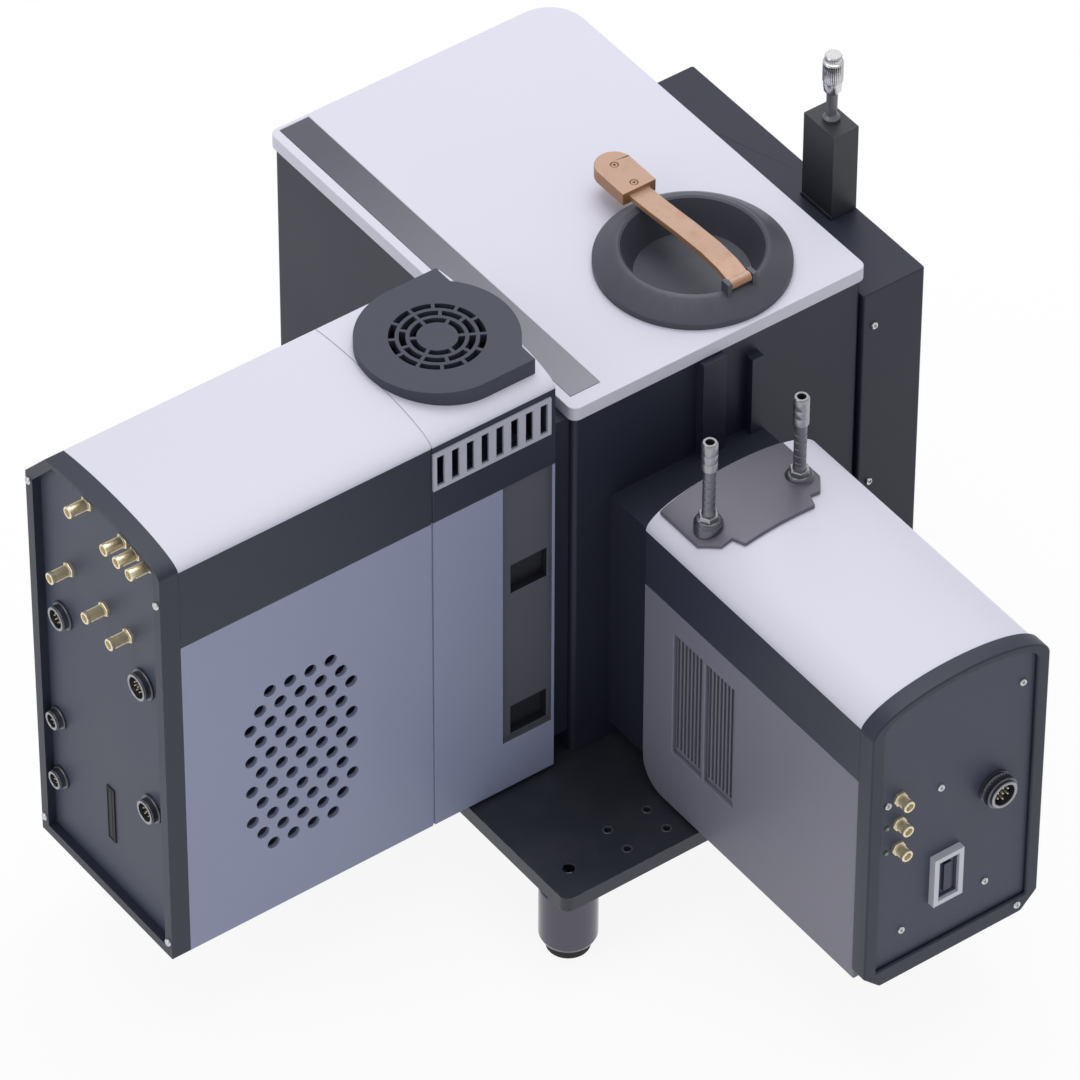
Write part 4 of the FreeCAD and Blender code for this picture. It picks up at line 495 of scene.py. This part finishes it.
# %% Assign the finishes
FINISHES = {
    plate_black: ["base_plate"],
    rubber: ["foot_pad_front_left", "foot_pad_front_right", "foot_pad_back_left", "foot_pad_back_right"],
    chrome_dark: ["foot_barrel_front_left", "foot_barrel_front_right", "foot_barrel_back_left",
                  "foot_barrel_back_right"],
    case_black: ["body_case", "slit_module", "left_adapter", "right_adapter", "adapter_clamps",
                 "entrance_flange"],
    column_black: ["slit_cartridge"],
    cover_white: ["top_cover", "left_cover", "right_cover"],
    strip_grey: ["label_strip"],
    cap_grey: ["turret_cap"],
    copper: ["cap_lever"],
    dull_metal: ["turret_drive", "grating_turret", "mirror_mounts", "left_sensor_tube",
                 "right_sensor_head"],
    grating: ["gratings"],
    mirror_coat: ["collimating_mirror", "focusing_mirror", "fold_mirror", "exit_mirror"],
    steel: ["slit_blade_near", "slit_blade_far", "micrometer_sleeve", "micrometer_spindle",
            "micrometer_thimble", "panel_screws"],
    stem_metal: ["hose_barbs"],
    side_blue: ["left_front_shell", "left_rear_shell"],
    band_dark: ["left_band", "right_band_frame", "left_bezel_frame", "right_bezel_frame"],
    frame_light: ["left_slot_grilles"],
    pad_grey: ["fan_pad"],
    black_plastic: ["left_fan_frame", "fan_rotor", "right_power_socket"],
    nut_dark: ["left_sockets"],
    panel_dark: ["left_rear_panel", "right_rear_panel"],
    side_grey: ["right_shell"],
    louvre_grey: ["right_louvres"],
    recess_grey: ["shutter_blade"],
    saddle_grey: ["coolant_plate"],
    white_plastic: ["right_data_socket"],
    window_glass: ["sensor_windows"],
    gold: ["coax_connectors"],
}
finish_of = {}
for material, names in FINISHES.items():
    for name in names:
        finish_of[name] = material
        NODES[name].data.materials.clear()
        NODES[name].data.materials.append(material)
print("nodes without a finish:", sorted(set(NODES) - set(finish_of)))

# %% [markdown]
# ## Soft edges
# No machined or folded edge is perfectly sharp. A highlight runs along each real edge, and the eye
# reads the size of a thing from it. The larger pieces are copied from the CAD node, their triangles are
# merged into flat faces, and a bevel rounds every edge that turns by more than 30 degrees. Weighted
# normals then keep the wide faces flat, so that only the narrow rounded faces bend the light.


# %% Round the edges of the larger pieces
def soften(node, width, segments=2, angle=30):
    """A copy of a CAD node with rounded edges, which stands in its place."""
    source = NODES[node]
    piece = bpy.data.objects.new(node + "_eased", source.data.copy())
    bpy.context.scene.collection.objects.link(piece)
    select_only(piece)
    bpy.ops.object.mode_set(mode="EDIT")
    bpy.ops.mesh.select_all(action="SELECT")
    bpy.ops.mesh.remove_doubles(threshold=0.000002)
    bpy.ops.mesh.dissolve_limited(angle_limit=math.radians(0.5))
    bpy.ops.object.mode_set(mode="OBJECT")
    rounding = piece.modifiers.new("eased edges", "BEVEL")
    rounding.width = width
    rounding.segments = segments
    rounding.limit_method = "ANGLE"
    rounding.angle_limit = math.radians(angle)
    rounding.use_clamp_overlap = True
    bpy.ops.object.modifier_apply(modifier=rounding.name)
    bpy.ops.object.shade_smooth_by_angle(angle=math.radians(50))
    flat_first = piece.modifiers.new("flat faces stay flat", "WEIGHTED_NORMAL")
    flat_first.mode = "FACE_AREA"
    flat_first.weight = 100
    flat_first.keep_sharp = True
    bpy.ops.object.modifier_apply(modifier=flat_first.name)
    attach(piece, source["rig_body"])
    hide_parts(node)
    print("eased", node, "to", len(piece.data.polygons), "faces")
    return piece


EASED = {
    "base_plate": 0.0008, "body_case": 0.0008, "top_cover": 0.0012, "slit_module": 0.001,
    "slit_cartridge": 0.0008, "left_front_shell": 0.0005, "left_rear_shell": 0.0005, "left_band": 0.0005,
    "left_bezel_frame": 0.0012, "fan_pad": 0.0008, "right_shell": 0.0007,
    "right_band_frame": 0.0006, "right_bezel_frame": 0.0022, "coolant_plate": 0.0006, "turret_cap": 0.0006,
    "cap_lever": 0.0009, "left_adapter": 0.0008, "right_adapter": 0.0008,
    "foot_barrel_front_left": 0.0008, "foot_barrel_front_right": 0.0008,
    "foot_barrel_back_left": 0.0008, "foot_barrel_back_right": 0.0008,
}
eased = {node: soften(node, width) for node, width in EASED.items()}

# %% [markdown]
# The bays in the front shell are painted darker than its sides, and their pockets are nearly black. The
# faces are found by their place, and each gets its own material slot.


# %% Paint the bays and pockets of the front shell
def paint_inside(piece, material, low, high):
    """Gives a material to the faces of a piece whose centres lie in a box."""
    if material.name not in piece.data.materials:
        piece.data.materials.append(material)
    number = piece.data.materials.find(material.name)
    painted = [face for face in piece.data.polygons
               if all(a <= c <= b for a, c, b in zip(low, face.center, high))]
    for face in painted:
        face.material_index = number
    print(material.name, "on", len(painted), "faces of", piece.name)


SHELL_LOW, SHELL_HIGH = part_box("left_front_shell")
BAY_START, POCKET_START, POCKET_END = 0.0008, 0.0043, 0.0105  # depths below the shell's sides
BAY = ((-0.0368, 0.1058), (0.0008, 0.3183))  # the low and the high corner, in y and z
POCKETS = [((-0.0285, 0.107), (-0.0004, 0.132)), ((-0.0285, 0.2245), (-0.0004, 0.249))]


def paint_both_sides(material, start, corners):
    """Paints what lies deeper than a start in both sides of the front shell."""
    low, high = corners
    for near, far in ((SHELL_LOW.x + start, SHELL_LOW.x + POCKET_END),
                      (SHELL_HIGH.x - POCKET_END, SHELL_HIGH.x - start)):
        paint_inside(eased["left_front_shell"], material, (near, *low), (far, *high))


paint_both_sides(recess_grey, BAY_START, BAY)
for pocket in POCKETS:
    paint_both_sides(pocket_black, POCKET_START, pocket)

# %% [markdown]
# ## Turned fittings
# Connectors, sockets, hose stems and the micrometer are all turned on a lathe. A helper makes them as
# one would by hand: it starts from a filled circle, and extrudes and scales its face from step to step
# of an outline. Each is modelled at the origin, with Z as its way out, and copies are then put in place.


# %% Write the lathe helper
def lathe(name, outline, sides=32, material=None):
    """A turned piece on the Z axis. The outline lists (radius, height) in millimetres, base first."""
    clear_selection()
    radius, height = outline[0]
    bpy.ops.mesh.primitive_circle_add(vertices=sides, radius=radius / MM, fill_type="NGON",
                                      location=(0, 0, height / MM))
    piece = bpy.context.object
    piece.name = name
    bpy.ops.object.transform_apply(location=True)
    bpy.ops.object.mode_set(mode="EDIT")
    bpy.ops.mesh.select_mode(type="FACE")
    bpy.ops.mesh.select_all(action="SELECT")
    for next_radius, next_height in outline[1:]:
        step = (next_height - height) / MM
        bpy.ops.mesh.extrude_region_move(TRANSFORM_OT_translate={"value": (0, 0, step)})
        share = next_radius / radius
        bpy.ops.transform.resize(value=(share, share, 1), center_override=(0, 0, next_height / MM))
        radius, height = next_radius, next_height
    bpy.ops.mesh.select_all(action="SELECT")
    bpy.ops.mesh.normals_make_consistent(inside=False)
    bpy.ops.object.mode_set(mode="OBJECT")
    bpy.ops.object.shade_smooth_by_angle(angle=math.radians(35))
    if material:
        piece.data.materials.append(material)
    return piece


def pick_faces(piece, test):
    """Selects the faces for which the test of centre and normal holds, and opens edit mode on them."""
    select_only(piece)
    bpy.ops.object.mode_set(mode="EDIT")
    bpy.ops.mesh.select_mode(type="FACE")
    bpy.ops.mesh.select_all(action="DESELECT")
    bpy.ops.object.mode_set(mode="OBJECT")
    for face in piece.data.polygons:
        face.select = bool(test(face.center, face.normal))
    bpy.ops.object.mode_set(mode="EDIT")


def fuse(name, pieces):
    """Several pieces as one object, which keeps each one's materials."""
    clear_selection()
    for piece in pieces:
        piece.select_set(True)
    bpy.context.view_layer.objects.active = pieces[0]
    bpy.ops.object.join()
    pieces[0].name = name
    return pieces[0]


# %% [markdown]
# A copy is put in place by moving its mesh, not its object, because a finished piece's object stays at
# the origin. Three ways out are enough here: up, out of the left panel, and out of the right panel.

# %% Write the helpers that place copies
UP = Matrix.Identity(4)
OUT_LEFT = Matrix.Rotation(math.radians(90), 4, "X")
OUT_RIGHT = Matrix.Rotation(math.radians(90), 4, "Y")
LEFT_PANEL_Y, LEFT_BEZEL_Y = -275.6, -281.6
RIGHT_PANEL_X, RIGHT_BEZEL_X = 285.9, 288.9
SLAB_FACE_X = 20.6


def stamp(model, spot, way):
    """A copy of a model at a spot in millimetres, turned to its way out."""
    copy = bpy.data.objects.new(model.name + "_copy", model.data.copy())
    bpy.context.scene.collection.objects.link(copy)
    copy.data.transform(Matrix.Translation(Vector(spot) / MM) @ way)
    return copy


def settle(piece, body, slot_name, *replaced):
    """Lets a piece ride on a body and hides the nodes it stands for; the slot name is not used."""
    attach(piece, body)
    if replaced:
        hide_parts(*replaced)
    print(piece.name, "rides on", body, "with", len(piece.data.polygons), "faces")


def drop(*models):
    for model in models:
        bpy.data.objects.remove(model)


# %% [markdown]
# ## Screws
# The panel screws have a low domed head with a six-lobed socket. The lobes come from the ring of the
# socket: every second pair of its points is scaled inwards before the socket is extruded down.


# %% Model one screw and copy it
def lobed_screw(name, radius, head, material):
    """A domed screw head with a six-lobed socket, in millimetres."""
    socket_ring = radius * 0.5
    screw = lathe(name, [(radius, -0.4), (radius, head * 0.45), (radius * 0.93, head * 0.75),
                         (radius * 0.76, head), (socket_ring, head)], 24, material)
    bpy.ops.object.mode_set(mode="EDIT")
    bpy.ops.mesh.select_mode(type="VERT")
    bpy.ops.mesh.select_all(action="DESELECT")
    bpy.ops.object.mode_set(mode="OBJECT")
    for point in screw.data.vertices:
        on_ring = abs(point.co.xy.length - socket_ring / MM) < 1e-6 and point.co.z > head * 0.9 / MM
        turn = round(math.degrees(math.atan2(point.co.y, point.co.x)) / 15)
        point.select = on_ring and turn % 4 < 2
    bpy.ops.object.mode_set(mode="EDIT")
    bpy.ops.transform.resize(value=(0.7, 0.7, 1), center_override=(0, 0, head / MM))
    bpy.ops.object.mode_set(mode="OBJECT")
    pick_faces(screw, lambda c, n: c.xy.length < 1e-5 and c.z > head * 0.9 / MM)
    bpy.ops.mesh.extrude_region_move(TRANSFORM_OT_translate={"value": (0, 0, -head * 0.7 / MM)})
    bpy.ops.object.mode_set(mode="OBJECT")
    # The floor of the socket is painted near black as painted shade.
    screw.data.materials.append(painted_hole_shade)
    for face in screw.data.polygons:
        if face.center.xy.length < 1e-5 and 0 < face.center.z:
            face.material_index = 1
    return screw


screw_model = lobed_screw("panel_screw", radius=2.6, head=1.5, material=steel)
SCREWS = [((RIGHT_PANEL_X, y, z), OUT_RIGHT) for y, z in
          ((91.4, 206.1), (128.6, 105.9), (150.6, 259.1), (65.3, 102.0), (51.4, 214.0))]
SCREWS.append(((RIGHT_BEZEL_X, 152.4, 73.7), OUT_RIGHT))
SCREWS += [((SLAB_FACE_X, 244.0, z), OUT_RIGHT) for z in (90.0, 171.0, 299.9)]
SCREWS += [((x, LEFT_BEZEL_Y, z), OUT_LEFT) for x in (-113.3, 19.0) for z in (79.6, 357.6)]
screws = fuse("panel_screws_lobed", [stamp(screw_model, spot, way) for spot, way in SCREWS])
settle(screws, NODES["panel_screws"]["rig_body"], SLOTS["panel_screws"], "panel_screws")
drop(screw_model)

# %% [markdown]
# The finger tab of the lever is held by two small screws in shallow round seats.

# %% Put the screws in the lever's tab
tab_model = lobed_screw("tab_screw", radius=2.3, head=1.0, material=copper)
LEVER_LOW, LEVER_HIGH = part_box("cap_lever")
TAB_TOP_Z, TAB_RADIUS, TAB_PITCH = 372.9, 12.5, 20
middle_y = (LEVER_LOW.y + LEVER_HIGH.y) / 2 * MM
tab_x = LEVER_LOW.x * MM + TAB_RADIUS
tab_screws = fuse("tab_screws", [stamp(tab_model, (tab_x + TAB_PITCH * n, middle_y, TAB_TOP_Z), UP)
                                 for n in (0, 1)])
settle(tab_screws, NODES["cap_lever"]["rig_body"], SLOTS["cap_lever"])
drop(tab_model)

# %% [markdown]
# ## Coaxial connectors
# Each has a hexagonal nut on the panel, a threaded barrel, a plain lip, a pale insulator and a centre
# pin. The threads are fine rings in the outline. Two lengths are modelled, one for each panel.


# %% Model the coaxial connectors
def coax_model(length):
    """A threaded connector of a given length in millimetres."""
    outline = [(4.0, -0.3), (4.0, 2.6), (3.7, 2.8)]
    height = 2.8
    while height < length - 3.2:
        outline += [(3.75, height + 0.1), (3.75, height + 0.45), (3.45, height + 0.6), (3.45, height + 0.8)]
        height += 0.9
    outline += [(3.45, length - 2.6), (4.0, length - 2.4), (4.0, length - 0.4), (3.7, length),
                (2.7, length), (2.6, length - 0.3), (2.6, length - 4.0)]
    barrel = lathe("coax_barrel", outline, 32, gold)
    nut = lathe("coax_nut", [(5.2, -0.2), (5.2, 1.7), (4.7, 2.1), (4.2, 2.1)], 6, gold)
    seat = lathe("coax_insulator", [(2.5, length - 4.1), (2.5, length - 2.6), (1.2, length - 2.6)], 24,
                 white_plastic)
    pin = lathe("coax_pin", [(0.65, length - 4.0), (0.65, length - 1.6), (0.35, length - 1.2)], 12, gold)
    return fuse("coax_model", [barrel, nut, seat, pin])


long_coax = coax_model(15.0)
short_coax = coax_model(10.0)
LEFT_COAX = [(-58.6, 377.5), (-21.7, 375.6), (-8.6, 375.6), (4.3, 375.6), (-81.6, 307.1), (-45.1, 303.1),
             (-20.1, 300.9)]
coax_pieces = [stamp(long_coax, (x, LEFT_PANEL_Y, z), OUT_LEFT) for x, z in LEFT_COAX]
RIGHT_COAX_Y, RIGHT_COAX_Z = 60.3, (215.4, 195.1, 174.5)
coax_pieces += [stamp(short_coax, (RIGHT_PANEL_X, RIGHT_COAX_Y, z), OUT_RIGHT) for z in RIGHT_COAX_Z]
coax = fuse("coax_connectors_threaded", coax_pieces)
settle(coax, NODES["coax_connectors"]["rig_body"], SLOTS["coax_connectors"], "coax_connectors")
drop(long_coax, short_coax)

# %% [markdown]
# ## Round sockets
# The left panel's sockets have a slim metal ring around them, and an insert with pins and a key inside.
# The CAD ring stays; an outer nut, a paler rim and the insert are added to it.


# %% Fit the round sockets
def socket_insert(radius, pins):
    """The outer nut, the insert and its pins, for a socket of a radius in millimetres."""
    nut = lathe("socket_nut", [(radius + 1.6, -0.2), (radius + 1.6, 1.4), (radius + 1.1, 1.9),
                               (radius + 0.05, 1.9)], 32, nut_dark)
    lip = lathe("socket_lip", [(radius - 0.3, 1.8), (radius - 0.3, 6.1), (radius - 0.7, 6.35),
                               (radius - 1.6, 6.35), (radius - 1.95, 6.0), (radius - 1.95, 1.9)], 32,
                stem_metal)
    insert = lathe("socket_insert", [(radius - 2.05, 1.9), (radius - 2.05, 2.6), (radius - 2.4, 2.9),
                                     (radius - 2.9, 2.9), (radius - 3.1, 2.5)], 32, black_plastic)
    pieces = [nut, lip, insert]
    pin = lathe("socket_pin", [(0.45, 2.4), (0.45, 4.6), (0.25, 4.9)], 10, gold)
    for n in range(pins):
        turn = 2 * math.pi * n / pins + 0.4
        ring = (radius - 3.0) * 0.62
        pieces.append(stamp(pin, (ring * math.cos(turn), ring * math.sin(turn), 0), UP))
    pieces.append(stamp(pin, (0, 0, 0), UP))
    drop(pin)
    return fuse("socket_model", pieces)


ROUND_SOCKETS = [(-91.2, 262.0, 8.1, 7), (-6.1, 272.0, 9.0, 8), (-2.2, 172.1, 8.1, 5),
                 (-101.1, 169.9, 6.3, 4), (-101.1, 119.9, 6.3, 4)]
inserts = []
for x, z, radius, pins in ROUND_SOCKETS:
    model = socket_insert(radius, pins)
    inserts.append(stamp(model, (x, LEFT_PANEL_Y, z), OUT_LEFT))
    drop(model)
inserts = fuse("round_socket_inserts", inserts)
settle(inserts, NODES["left_sockets"]["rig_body"], SLOTS["left_sockets"])

# %% [markdown]
# ## The power and data sockets of the right panel
# The power socket has a knurled coupling ring. The ribs are made by insetting every second face of the
# ring, one by one, and pushing it in. The rim of the ring is left paler than its sides.


# %% Model the power socket
def knurl(piece, low, high, inset, depth, sides, least_radius):
    """Pushes in every second upright face between two heights, in millimetres."""
    def every_second(c, n):
        turn = int(math.floor(math.degrees(math.atan2(c.y, c.x)) / (360 / sides) + 0.001))
        upright = abs(n.z) < 0.1 and low < c.z * MM < high and c.xy.length * MM > least_radius
        return upright and turn % 2 == 0
    pick_faces(piece, every_second)
    bpy.ops.mesh.inset(thickness=inset / MM, depth=-depth / MM, use_individual=True)
    bpy.ops.object.mode_set(mode="OBJECT")


ring = lathe("power_ring", [(11.5, -0.3), (11.5, 2.0), (10.4, 2.4), (10.4, 3.0), (11.3, 3.4), (11.3, 8.6),
                            (10.5, 9.2), (9.6, 9.2), (9.6, 10.6), (9.2, 11.0), (7.9, 11.0), (7.5, 10.6),
                            (7.5, 3.2)], 60, nut_dark)
knurl(ring, 3.5, 8.5, 0.12, 0.35, 60, 11.0)
ring.data.materials.append(stem_metal)
for face in ring.data.polygons:
    if face.center.z > 0.0105 and face.center.xy.length > 0.0076:
        face.material_index = 1
insert = lathe("power_insert", [(7.4, 3.1), (7.4, 5.2), (6.9, 5.6)], 32, black_plastic)
power_pin = lathe("power_pin", [(0.75, 5.5), (0.75, 8.6), (0.4, 9.1)], 12, gold)
PINS, PIN_RING = 6, 4.4
pin_pieces = []
for n in range(PINS):
    turn = 2 * math.pi * n / PINS
    pin_pieces.append(stamp(power_pin, (PIN_RING * math.cos(turn), PIN_RING * math.sin(turn), 0), UP))
pin_pieces.append(stamp(power_pin, (0, 0, 0), UP))
power_model = fuse("power_model", [ring, insert] + pin_pieces)
power = stamp(power_model, (RIGHT_PANEL_X, 132.3, 184.1), OUT_RIGHT)
power.name = "power_socket_pinned"
settle(power, NODES["right_power_socket"]["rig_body"], SLOTS["right_power_socket"], "right_power_socket")
drop(power_model, power_pin)

# %% [markdown]
# The white framed socket has a dark blue insert, and the slot in the left panel a black one. Both are
# the same form: a block whose outer face is inset, pushed in, inset again and pulled out as a tongue.


# %% Fit the data sockets' inserts
def data_insert(name, middle, size, way_out, rim, floor_depth, tongue, material):
    """A rounded block whose outer face has a sunk floor with a raised tongue, in millimetres."""
    clear_selection()
    bpy.ops.mesh.primitive_cube_add(size=1, location=middle)
    block = bpy.context.object
    block.name = name
    block.scale = Vector(size) / MM
    bpy.ops.object.transform_apply(location=True, rotation=False, scale=True)
    out = Vector(way_out)
    pick_faces(block, lambda c, n: n.dot(out) > 0.9)
    for step, rise in ((rim, -floor_depth), tongue):
        bpy.ops.mesh.inset(thickness=step / MM)
        bpy.ops.mesh.extrude_region_move(TRANSFORM_OT_translate={"value": out * rise / MM})
    bpy.ops.object.mode_set(mode="OBJECT")
    block.data.materials.append(material)
    corner = block.modifiers.new("soft corners", "BEVEL")
    corner.width = 0.0002
    corner.segments = 2
    select_only(block)
    bpy.ops.object.modifier_apply(modifier=corner.name)
    return block


DATA_LOW, DATA_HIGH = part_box("right_data_socket")
data_middle = (DATA_LOW + DATA_HIGH) / 2
data_middle.x = DATA_LOW.x + 0.0021
right_insert = data_insert("data_socket_insert", data_middle, (1.2, 14.9, 31.9), (1, 0, 0), 1.8, 0.7,
                           (2.8, 1.6), blue_plastic)
settle(right_insert, NODES["right_data_socket"]["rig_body"], SLOTS["right_data_socket"])
slot_middle = Vector((-47.15, LEFT_PANEL_Y - 0.2, 131.6)) / MM
left_insert = data_insert("slot_socket_insert", slot_middle, (7.8, 1.6, 43.8), (0, -1, 0), 0.9, 0.5,
                          (1.9, 0.3), pocket_black)
settle(left_insert, NODES["left_sockets"]["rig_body"], SLOTS["left_sockets"])

# %% [markdown]
# Two small green lamps sit beside the connectors. Each is a low clear dome in a slim ring.

# %% Add the status lamps
lamp_ring = lathe("lamp_ring", [(1.7, -0.2), (1.7, 0.5), (1.4, 0.7), (1.15, 0.7)], 20, nut_dark)
lamp_dome = lathe("lamp_dome", [(1.15, 0.4), (1.15, 0.8), (1.0, 1.15), (0.65, 1.4), (0.2, 1.5)], 20,
                  green_lamp)
lamp_model = fuse("lamp_model", [lamp_ring, lamp_dome])
STATUS_Y = 51.6
status_lamps = fuse("status_lamps", [stamp(lamp_model, (RIGHT_PANEL_X, STATUS_Y, z), OUT_RIGHT)
                                     for z in RIGHT_COAX_Z[1:]])
settle(status_lamps, "instrument", SLOTS["right_rear_panel"])
drop(lamp_model)

# %% [markdown]
# ## Hose stems
# A dark round base with a polished shoulder holds a slim stem with fine turned bands, and the head for
# the hose is plain and paler. The bore in its end is painted nearly black, as painted shade.

# %% Model the hose stems
base = lathe("stem_base", [(9.0, 289.8), (9.0, 297.4), (8.6, 298.0), (8.3, 298.2), (8.3, 299.0),
                           (7.6, 300.0), (6.6, 300.5), (4.4, 300.5)], 48, nut_dark)
nut = lathe("stem_nut", [(6.6, 300.4), (6.6, 303.6), (6.0, 304.2), (4.3, 304.2)], 6, stem_metal)
rod_outline = [(4.3, 303.0), (4.3, 306.0), (4.0, 306.5)]
BANDS, FIRST_BAND_Z, BAND_PITCH = 5, 310.0, 5.5
for n in range(BANDS):
    height = FIRST_BAND_Z + BAND_PITCH * n
    rod_outline += [(4.0, height), (3.6, height + 0.4), (3.6, height + 1.6), (4.0, height + 2.0)]
rod_outline += [(4.0, 340.3)]
rod = lathe("stem_rod", rod_outline, 32, dull_metal)
head = lathe("stem_head", [(4.2, 340.2), (5.0, 340.6), (5.0, 346.0), (4.8, 346.4), (5.0, 346.8),
                           (5.0, 352.4), (4.8, 352.8), (5.0, 353.2), (5.0, 360.3), (4.2, 361.5),
                           (2.9, 361.5), (2.7, 361.2), (2.7, 348.0)], 32, stem_metal)
# The walls and floor of the bore are painted near black as painted shade.
head.data.materials.append(painted_hole_shade)
for face in head.data.polygons:
    if face.center.xy.length < 0.00272 and face.center.z < 0.361:
        face.material_index = 1
stem_model = fuse("stem_model", [base, nut, rod, head])
STEM_X, STEM_YS = 98.9, (59.0, 127.0)
stems = fuse("hose_stems_turned", [stamp(stem_model, (STEM_X, y, 0), UP) for y in STEM_YS])
settle(stems, NODES["hose_barbs"]["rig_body"], SLOTS["hose_barbs"], "hose_barbs")
drop(stem_model)

# %% [markdown]
# ## The micrometer
# The thimble has a knurled grip, and its lower end tapers to the sleeve. A ratchet knob stands on top.
# The sleeve has a foot on the column, and fine rings where its scale is read. No numbers are needed at
# this size.

# %% Model the micrometer
AXIS_X, AXIS_Y = -62.5, 272.5
thimble_model = lathe("thimble_model", [
    (3.7, 415.0), (4.6, 415.2), (5.6, 417.0), (6.1, 423.6), (6.1, 424.2), (6.5, 424.8), (6.5, 438.2),
    (6.1, 438.7), (6.1, 439.3), (5.4, 439.6), (5.4, 443.2), (4.8, 444.0)], 60, steel)
knurl(thimble_model, 425.0, 438.0, 0.1, 0.3, 60, 6.3)
knurl(thimble_model, 439.7, 443.1, 0.1, 0.25, 60, 5.2)
thimble = stamp(thimble_model, (AXIS_X, AXIS_Y, 0), UP)
thimble.name = "thimble_knurled"
settle(thimble, NODES["micrometer_thimble"]["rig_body"], SLOTS["micrometer_thimble"], "micrometer_thimble")
sleeve_outline = [(5.5, 392.5), (5.5, 395.0), (4.9, 395.6), (3.9, 396.4), (3.5, 397.6)]
SCALE_RINGS, FIRST_RING_Z, RING_PITCH = 10, 400.0, 1.5
for n in range(SCALE_RINGS):
    height = FIRST_RING_Z + RING_PITCH * n
    sleeve_outline += [(3.5, height), (3.38, height + 0.08), (3.38, height + 0.3), (3.5, height + 0.38)]
sleeve_outline += [(3.5, 430.5), (2.1, 430.5)]
sleeve_model = lathe("sleeve_model", sleeve_outline, 40, dull_metal)
sleeve = stamp(sleeve_model, (AXIS_X, AXIS_Y, 0), UP)
sleeve.name = "sleeve_with_scale"
settle(sleeve, NODES["micrometer_sleeve"]["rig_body"], SLOTS["micrometer_sleeve"], "micrometer_sleeve")
drop(thimble_model, sleeve_model)

# %% [markdown]
# ## Thread inserts in the plate
# The four tapped holes of the plate are lined with bright thread inserts, which show as small rings.

# %% Line the tapped holes
liner_model = lathe("thread_insert", [(2.9, 58.0), (2.9, 63.8), (3.5, 63.95), (3.5, 64.15), (3.3, 64.3),
                                      (2.45, 64.3), (2.35, 64.1), (2.35, 58.4)], 28, dull_metal)
# The floor inside each insert is painted near black as painted shade in the hole.
liner_model.data.materials.append(painted_hole_shade)
for face in liner_model.data.polygons:
    if face.center.xy.length < 0.0001:
        face.material_index = 1
HOLES_X, HOLES_Y = 95.1, 12.0
HOLES = [(HOLES_X + dx, HOLES_Y + dy) for dx in (-10, 10) for dy in (-15, 15)]
liners = fuse("thread_inserts", [stamp(liner_model, (x, y, 0), UP) for x, y in HOLES])
settle(liners, NODES["base_plate"]["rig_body"], SLOTS["base_plate"])
drop(liner_model)
